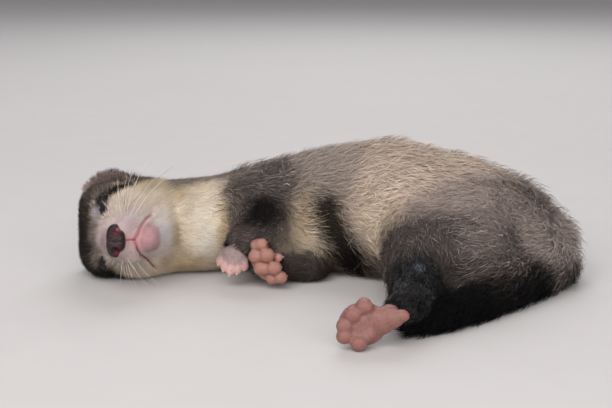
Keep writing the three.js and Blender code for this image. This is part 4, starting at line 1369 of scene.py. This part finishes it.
def tuftMesh(name, kind, hair):
    shape = tuftShapes[kind]
    root, normal, lie, length = hair["root"], hair["normal"], hair["lie"], hair["length"]
    count = len(root)
    side = unit(np.cross(normal, lie))
    rise = length * np.sin(hair["lift"])
    run = length * np.cos(hair["lift"])
    tip = root + lie * run[:, None] + normal * (rise * coatSet["tipRise"])[:, None]
    tip = clumped(root, tip + side * (length * random.normal(0, coatSet["sway"], count))[:, None])
    half = (hair["width"] / 2)[:, None]
    base = root - normal * coatSet["sink"]
    rows = [base - side * half, base + side * half, base + normal * half * coatSet["thickness"]]
    if kind == "lock":
        wide, thick = coatSet["bendSize"]
        bend = (root + tip) / 2 + normal * (rise * coatSet["bendRise"])[:, None]
        rows += [bend - side * half * wide, bend + side * half * wide, bend + normal * half * thick]
    points = np.stack([*rows, tip], axis=1)
    keepAbove(points, coatSet["lowest"])
    each = points.shape[1]
    corners = (np.arange(count)[:, None] * each + np.array(shape["corners"])).ravel()
    mesh = meshFrom(name, points.reshape(-1, 3), corners, np.tile(shape["sizes"], count))
    level = np.repeat([0.0, 0.5, 1.0][:shape["rings"]] + [1.0], [3] * shape["rings"] + [1])
    # dark at the root, as painted shade deep in the coat, and light at the tip
    shade = hair["rootShade"][:, None] * (1 - level) + hair["tipShade"][:, None] * level
    setTint(mesh, (hair["tint"][:, None, :] * shade[:, :, None]).reshape(-1, 3))
    # a small patch of the baking map where the tuft stands on the skin
    patch = coatSet["uvPatch"]
    across = np.tile([0, 1, 0.5], shape["rings"]).tolist() + [0.5]
    offset = np.stack([across, level], axis=1) * patch - patch / 2
    place = (hair["uv"][:, None, :] + offset).reshape(-1, 2)
    layer = mesh.uv_layers.new(name="OFBake")
    layer.uv.foreach_set("vector", place[corners].astype(np.float32).ravel())
    ring = [unit(-side + normal * 0.3), unit(side + normal * 0.3), normal]
    own = np.stack(ring * shape["rings"] + [normal], axis=1)
    blended = unit(own * (1 - coatSet["normalBlend"]) + normal[:, None, :] * coatSet["normalBlend"])
    mesh.normals_split_custom_set_from_vertices(blended.reshape(-1, 3).tolist())
    return mesh


def scatter(points, triangles, normals, chance, count):
    # seeded places on a surface, as likely as each triangle's area times its chance
    a, b, c = (points[triangles[:, k]] for k in range(3))
    area = lengthOf(np.cross(b - a, c - a)) * chance
    total = np.cumsum(area)
    picked = np.searchsorted(total, random.uniform(0, total[-1], count))
    u, v = random.uniform(0, 1, (2, count))
    flip = u + v > 1
    u[flip], v[flip] = 1 - u[flip], 1 - v[flip]
    share = np.stack([1 - u - v, u, v], axis=1)
    place = (points[triangles[picked]] * share[:, :, None]).sum(axis=1)
    normal = unit((normals[triangles[picked]] * share[:, :, None]).sum(axis=1))
    return place, normal, picked, share


def addCoat(label, kind, hair):
    count = len(hair["root"])
    parts = math.ceil(count / coatSet["perPiece"][kind])
    for n, part in enumerate(np.array_split(np.arange(count), parts)):
        name = label + (str(n + 1) if parts > 1 else "")
        mesh = tuftMesh(name, kind, {key: value[part] for key, value in hair.items()})
        piece = dressed(name, mesh, "coat")
        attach(piece, "root")


def flattened(lie, normal):
    lie = unit(lie)
    return unit(lie - (lie * normal).sum(axis=1, keepdims=True) * normal)


# how single hairs differ; in each pair, the pale coat's value and what the dark coat adds
shadeSet = {
    "darkRange": (0.03, 0.3), "blackRange": (0.03, 0.01), "blackHolds": 0.7, "spread": (0.1, 0.12),
    "paleHairs": (0.02, 0.1), "paleTone": (1.3, 0.9), "deepHairs": (0.08, 0.03), "deepTone": 0.6,
    "warm": 0.03, "drift": 0.08, "driftSize": 5, "limits": (0.003, 0.86), "tip": (1.1, 1.6),
    # root: how much darker each hair is painted at its root, as shade deep in the coat
    "tipped": 0.25, "root": (0.86, -0.2)}


def grizzled(tint, place, even):
    # single hairs lighter or darker than their neighbours, and pale tips in the dark coat
    count = len(tint)
    dark = 1 - smoothStep(*shadeSet["darkRange"], tint.mean(axis=1))
    black = smoothStep(*shadeSet["blackRange"], tint.mean(axis=1))
    held = 1 - shadeSet["blackHolds"] * black

    def shade(label):
        pale, added = shadeSet[label]
        return pale + added * dark

    tone = np.exp(random.normal(0, 1, count) * shade("spread") * even)
    light = random.uniform(0, 1, count) < shadeSet["paleHairs"][1] * dark * held + shadeSet["paleHairs"][0]
    deep = random.uniform(0, 1, count) < shade("deepHairs")
    darker = np.where(deep, tone * shadeSet["deepTone"], tone)
    tone = np.where(light, tone * shade("paleTone"), darker)
    warm = random.normal(0, shadeSet["warm"], count)
    tint = tint * tone[:, None] * (1 + warm[:, None] * np.array([1, 0, -1.5]))
    patchy = 1 + shadeSet["drift"] * drift(place, shadeSet["driftSize"])[:, :1]
    tint = np.clip(tint * patchy, *shadeSet["limits"])
    tipped = random.uniform(0, 1, count) < shadeSet["tipped"]
    tips = shadeSet["tip"][0] + shadeSet["tip"][1] * dark * held * tipped
    return tint, tips, shade("root")


def furChance(middles):
    # how thick the fur stands on the skin: none on the lids, the mouth and the nose pad,
    # little round them, most on the face, and less under the body
    local = headLocal(middles)
    found = faceDistances(local)
    both = mirrored(local)
    chance = np.ones(len(local))
    for line, (bare, full) in furSet["clear"].items():
        chance *= smoothStep(bare, full, found[line])
    for middle, radii, least, bare, full in furSet["thin"]:
        chance *= least + (1 - least) * smoothStep(bare, full, lengthOf((both - middle) / radii))
    face = lengthOf(local) < lineSet["faceReach"]
    muzzle = 1 + furSet["denser"] * smoothStep(*furSet["denserFrom"], local[:, 0])
    chance *= np.where(face, muzzle, 1)
    return chance * np.where(middles[:, 2] < furSet["under"], furSet["underShare"], 1)


def makeBodyCoat():
    normals = normalsOf(skinPoints, skinTriangles)
    middles = skinPoints[skinTriangles].mean(axis=1)
    owner = followPaths(middles)[0].argmax(axis=1)
    chance = furChance(middles)
    for column, name in enumerate(pathNames):
        mine = np.where(owner == column)[0]
        spec = coatParts[name]
        short = name in ("head", "neck")
        stray = coatSet["stray"] * (1 if short else coatSet["bodyStray"])
        for kind, count in coatCounts[name].items():
            rows = scatter(skinPoints, skinTriangles[mine], normals, chance[mine], count)
            weight, fraction, lies = followPaths(rows[0])
            # in order along the body, so that each piece is one stretch of it
            order = np.argsort(fraction[:, column], kind="stable")
            place, normal, picked, share = (row[order] for row in rows)
            weight, fraction, lies = weight[order], fraction[order], lies[order]
            lie = unit((weight[:, :, None] * lies).sum(axis=1)) + drift(place, coatSet["driftSize"]) * stray
            lie = flattened(lie + random.normal(0, stray, place.shape), normal)
            length = measure("length", weight, fraction) * random.uniform(*coatSet["lengths"], count)
            lift = measure("lift", weight, fraction) * random.uniform(*coatSet["lifts"], count)
            if kind == "lock":
                length, lift = length * coatSet["lockLonger"], lift * coatSet["lockLifted"]
            for spot, radius, longer, lifted in wisps:
                amount = bell(lengthOf(place - spot), radius)
                length = length * (1 + longer * amount * random.uniform(0, 1, count))
                lift = lift + lifted * amount * random.uniform(0.3, 1.2, count)
            lift = lift * (1 - coatSet["topFlat"] * smoothStep(*coatSet["top"], place[:, 2]))
            thick = np.interp(fraction[:, column], [0, 1], spec["width"])
            thick = thick * random.uniform(*coatSet["widths"], count)
            tint = coatTint(place, weight, fraction, random.normal(0, coatSet["mixed"], count))
            tint, tips, roots = grizzled(tint, place, coatSet["shortEven"] if short else 1)
            hair = {
                "root": place, "normal": normal, "lie": lie, "length": length, "width": thick,
                "lift": np.radians(lift), "tint": tint, "tipShade": tips, "rootShade": roots,
                "uv": (skinUv[mine[picked]] * share[:, :, None]).sum(axis=1)}
            label = "coat" + name[0].upper() + name[1:] + ("Guard" if kind == "lock" else "")
            addCoat(label, kind, hair)


# Short fur on the ears and on the backs of the paws
fuzzSet = {
    "ear": {"count": 9000, "length": (1.6, 3.2), "lift": 40, "width": 0.18, "centre": 0.7},
    "paw": {
        "count": 2600, "length": (0.7, 1.5), "lift": 20, "width": 0.13, "centre": 2,
        # how far a face turns from the sole to be furred, and where along the palm the fur ends
        "turned": (0.25, -0.35), "ends": (0.75, -0.1), "least": 0.002},
    "stray": 0.2, "widths": (0.8, 1.2)}


def makeFuzz(node, spec, centre, chanceOf):
    # short fur that leads away from a centre
    piece, points, triangles, colours = furred[node]
    uv = unwrap(piece)
    normals = normalsOf(points, triangles)
    chance = chanceOf(points[triangles].mean(axis=1), normals[triangles].mean(axis=1))
    count = spec["count"]
    place, normal, picked, share = scatter(points, triangles, normals, chance, count)
    lie = flattened(unit(place - centre) + random.normal(0, fuzzSet["stray"], place.shape), normal)
    tint = (colours[triangles[picked]] * share[:, :, None]).sum(axis=1)
    tint, tips, roots = grizzled(tint, place, 1)
    hair = {
        "root": place, "normal": normal, "lie": lie,
        "length": random.uniform(*spec["length"], count),
        "width": spec["width"] * random.uniform(*fuzzSet["widths"], count),
        "lift": np.radians(spec["lift"] * random.uniform(*coatSet["lifts"], count)),
        "tint": tint, "tipShade": tips, "rootShade": roots,
        "uv": (uv[picked] * share[:, :, None]).sum(axis=1)}
    addCoat("fuzz" + pieceNames[node][0].upper() + pieceNames[node][1:], "spike", hair)


def makeShortFur():
    earFur, pawFur = fuzzSet["ear"], fuzzSet["paw"]
    for node, spec in earSet.items():
        axes = axesOf(spec["along"], spec["facing"])
        centre = inHead(spec["place"]) + axes[1] * spec["height"] * earFur["centre"]
        makeFuzz(node, earFur, centre, lambda middles, normals: np.ones(len(middles)))
    for node, spec in pawSet.items():
        axes = axesOf(spec["ahead"], spec["sole"])
        length = spec["palm"][0]

        def onBack(middles, normals, axes=axes, spec=spec, length=length):
            local = (middles - spec["place"]) @ axes.T
            begin, end = pawFur["ends"]
            away = smoothStep(*pawFur["turned"], normals @ axes[2])
            return away * smoothStep(length * begin, length * end, local[:, 0]) + pawFur["least"]

        centre = spec["place"] - axes[0] * length * pawFur["centre"]
        makeFuzz(node, pawFur, centre, onBack)


makeBodyCoat()
makeShortFur()
print("ferret: coat made")
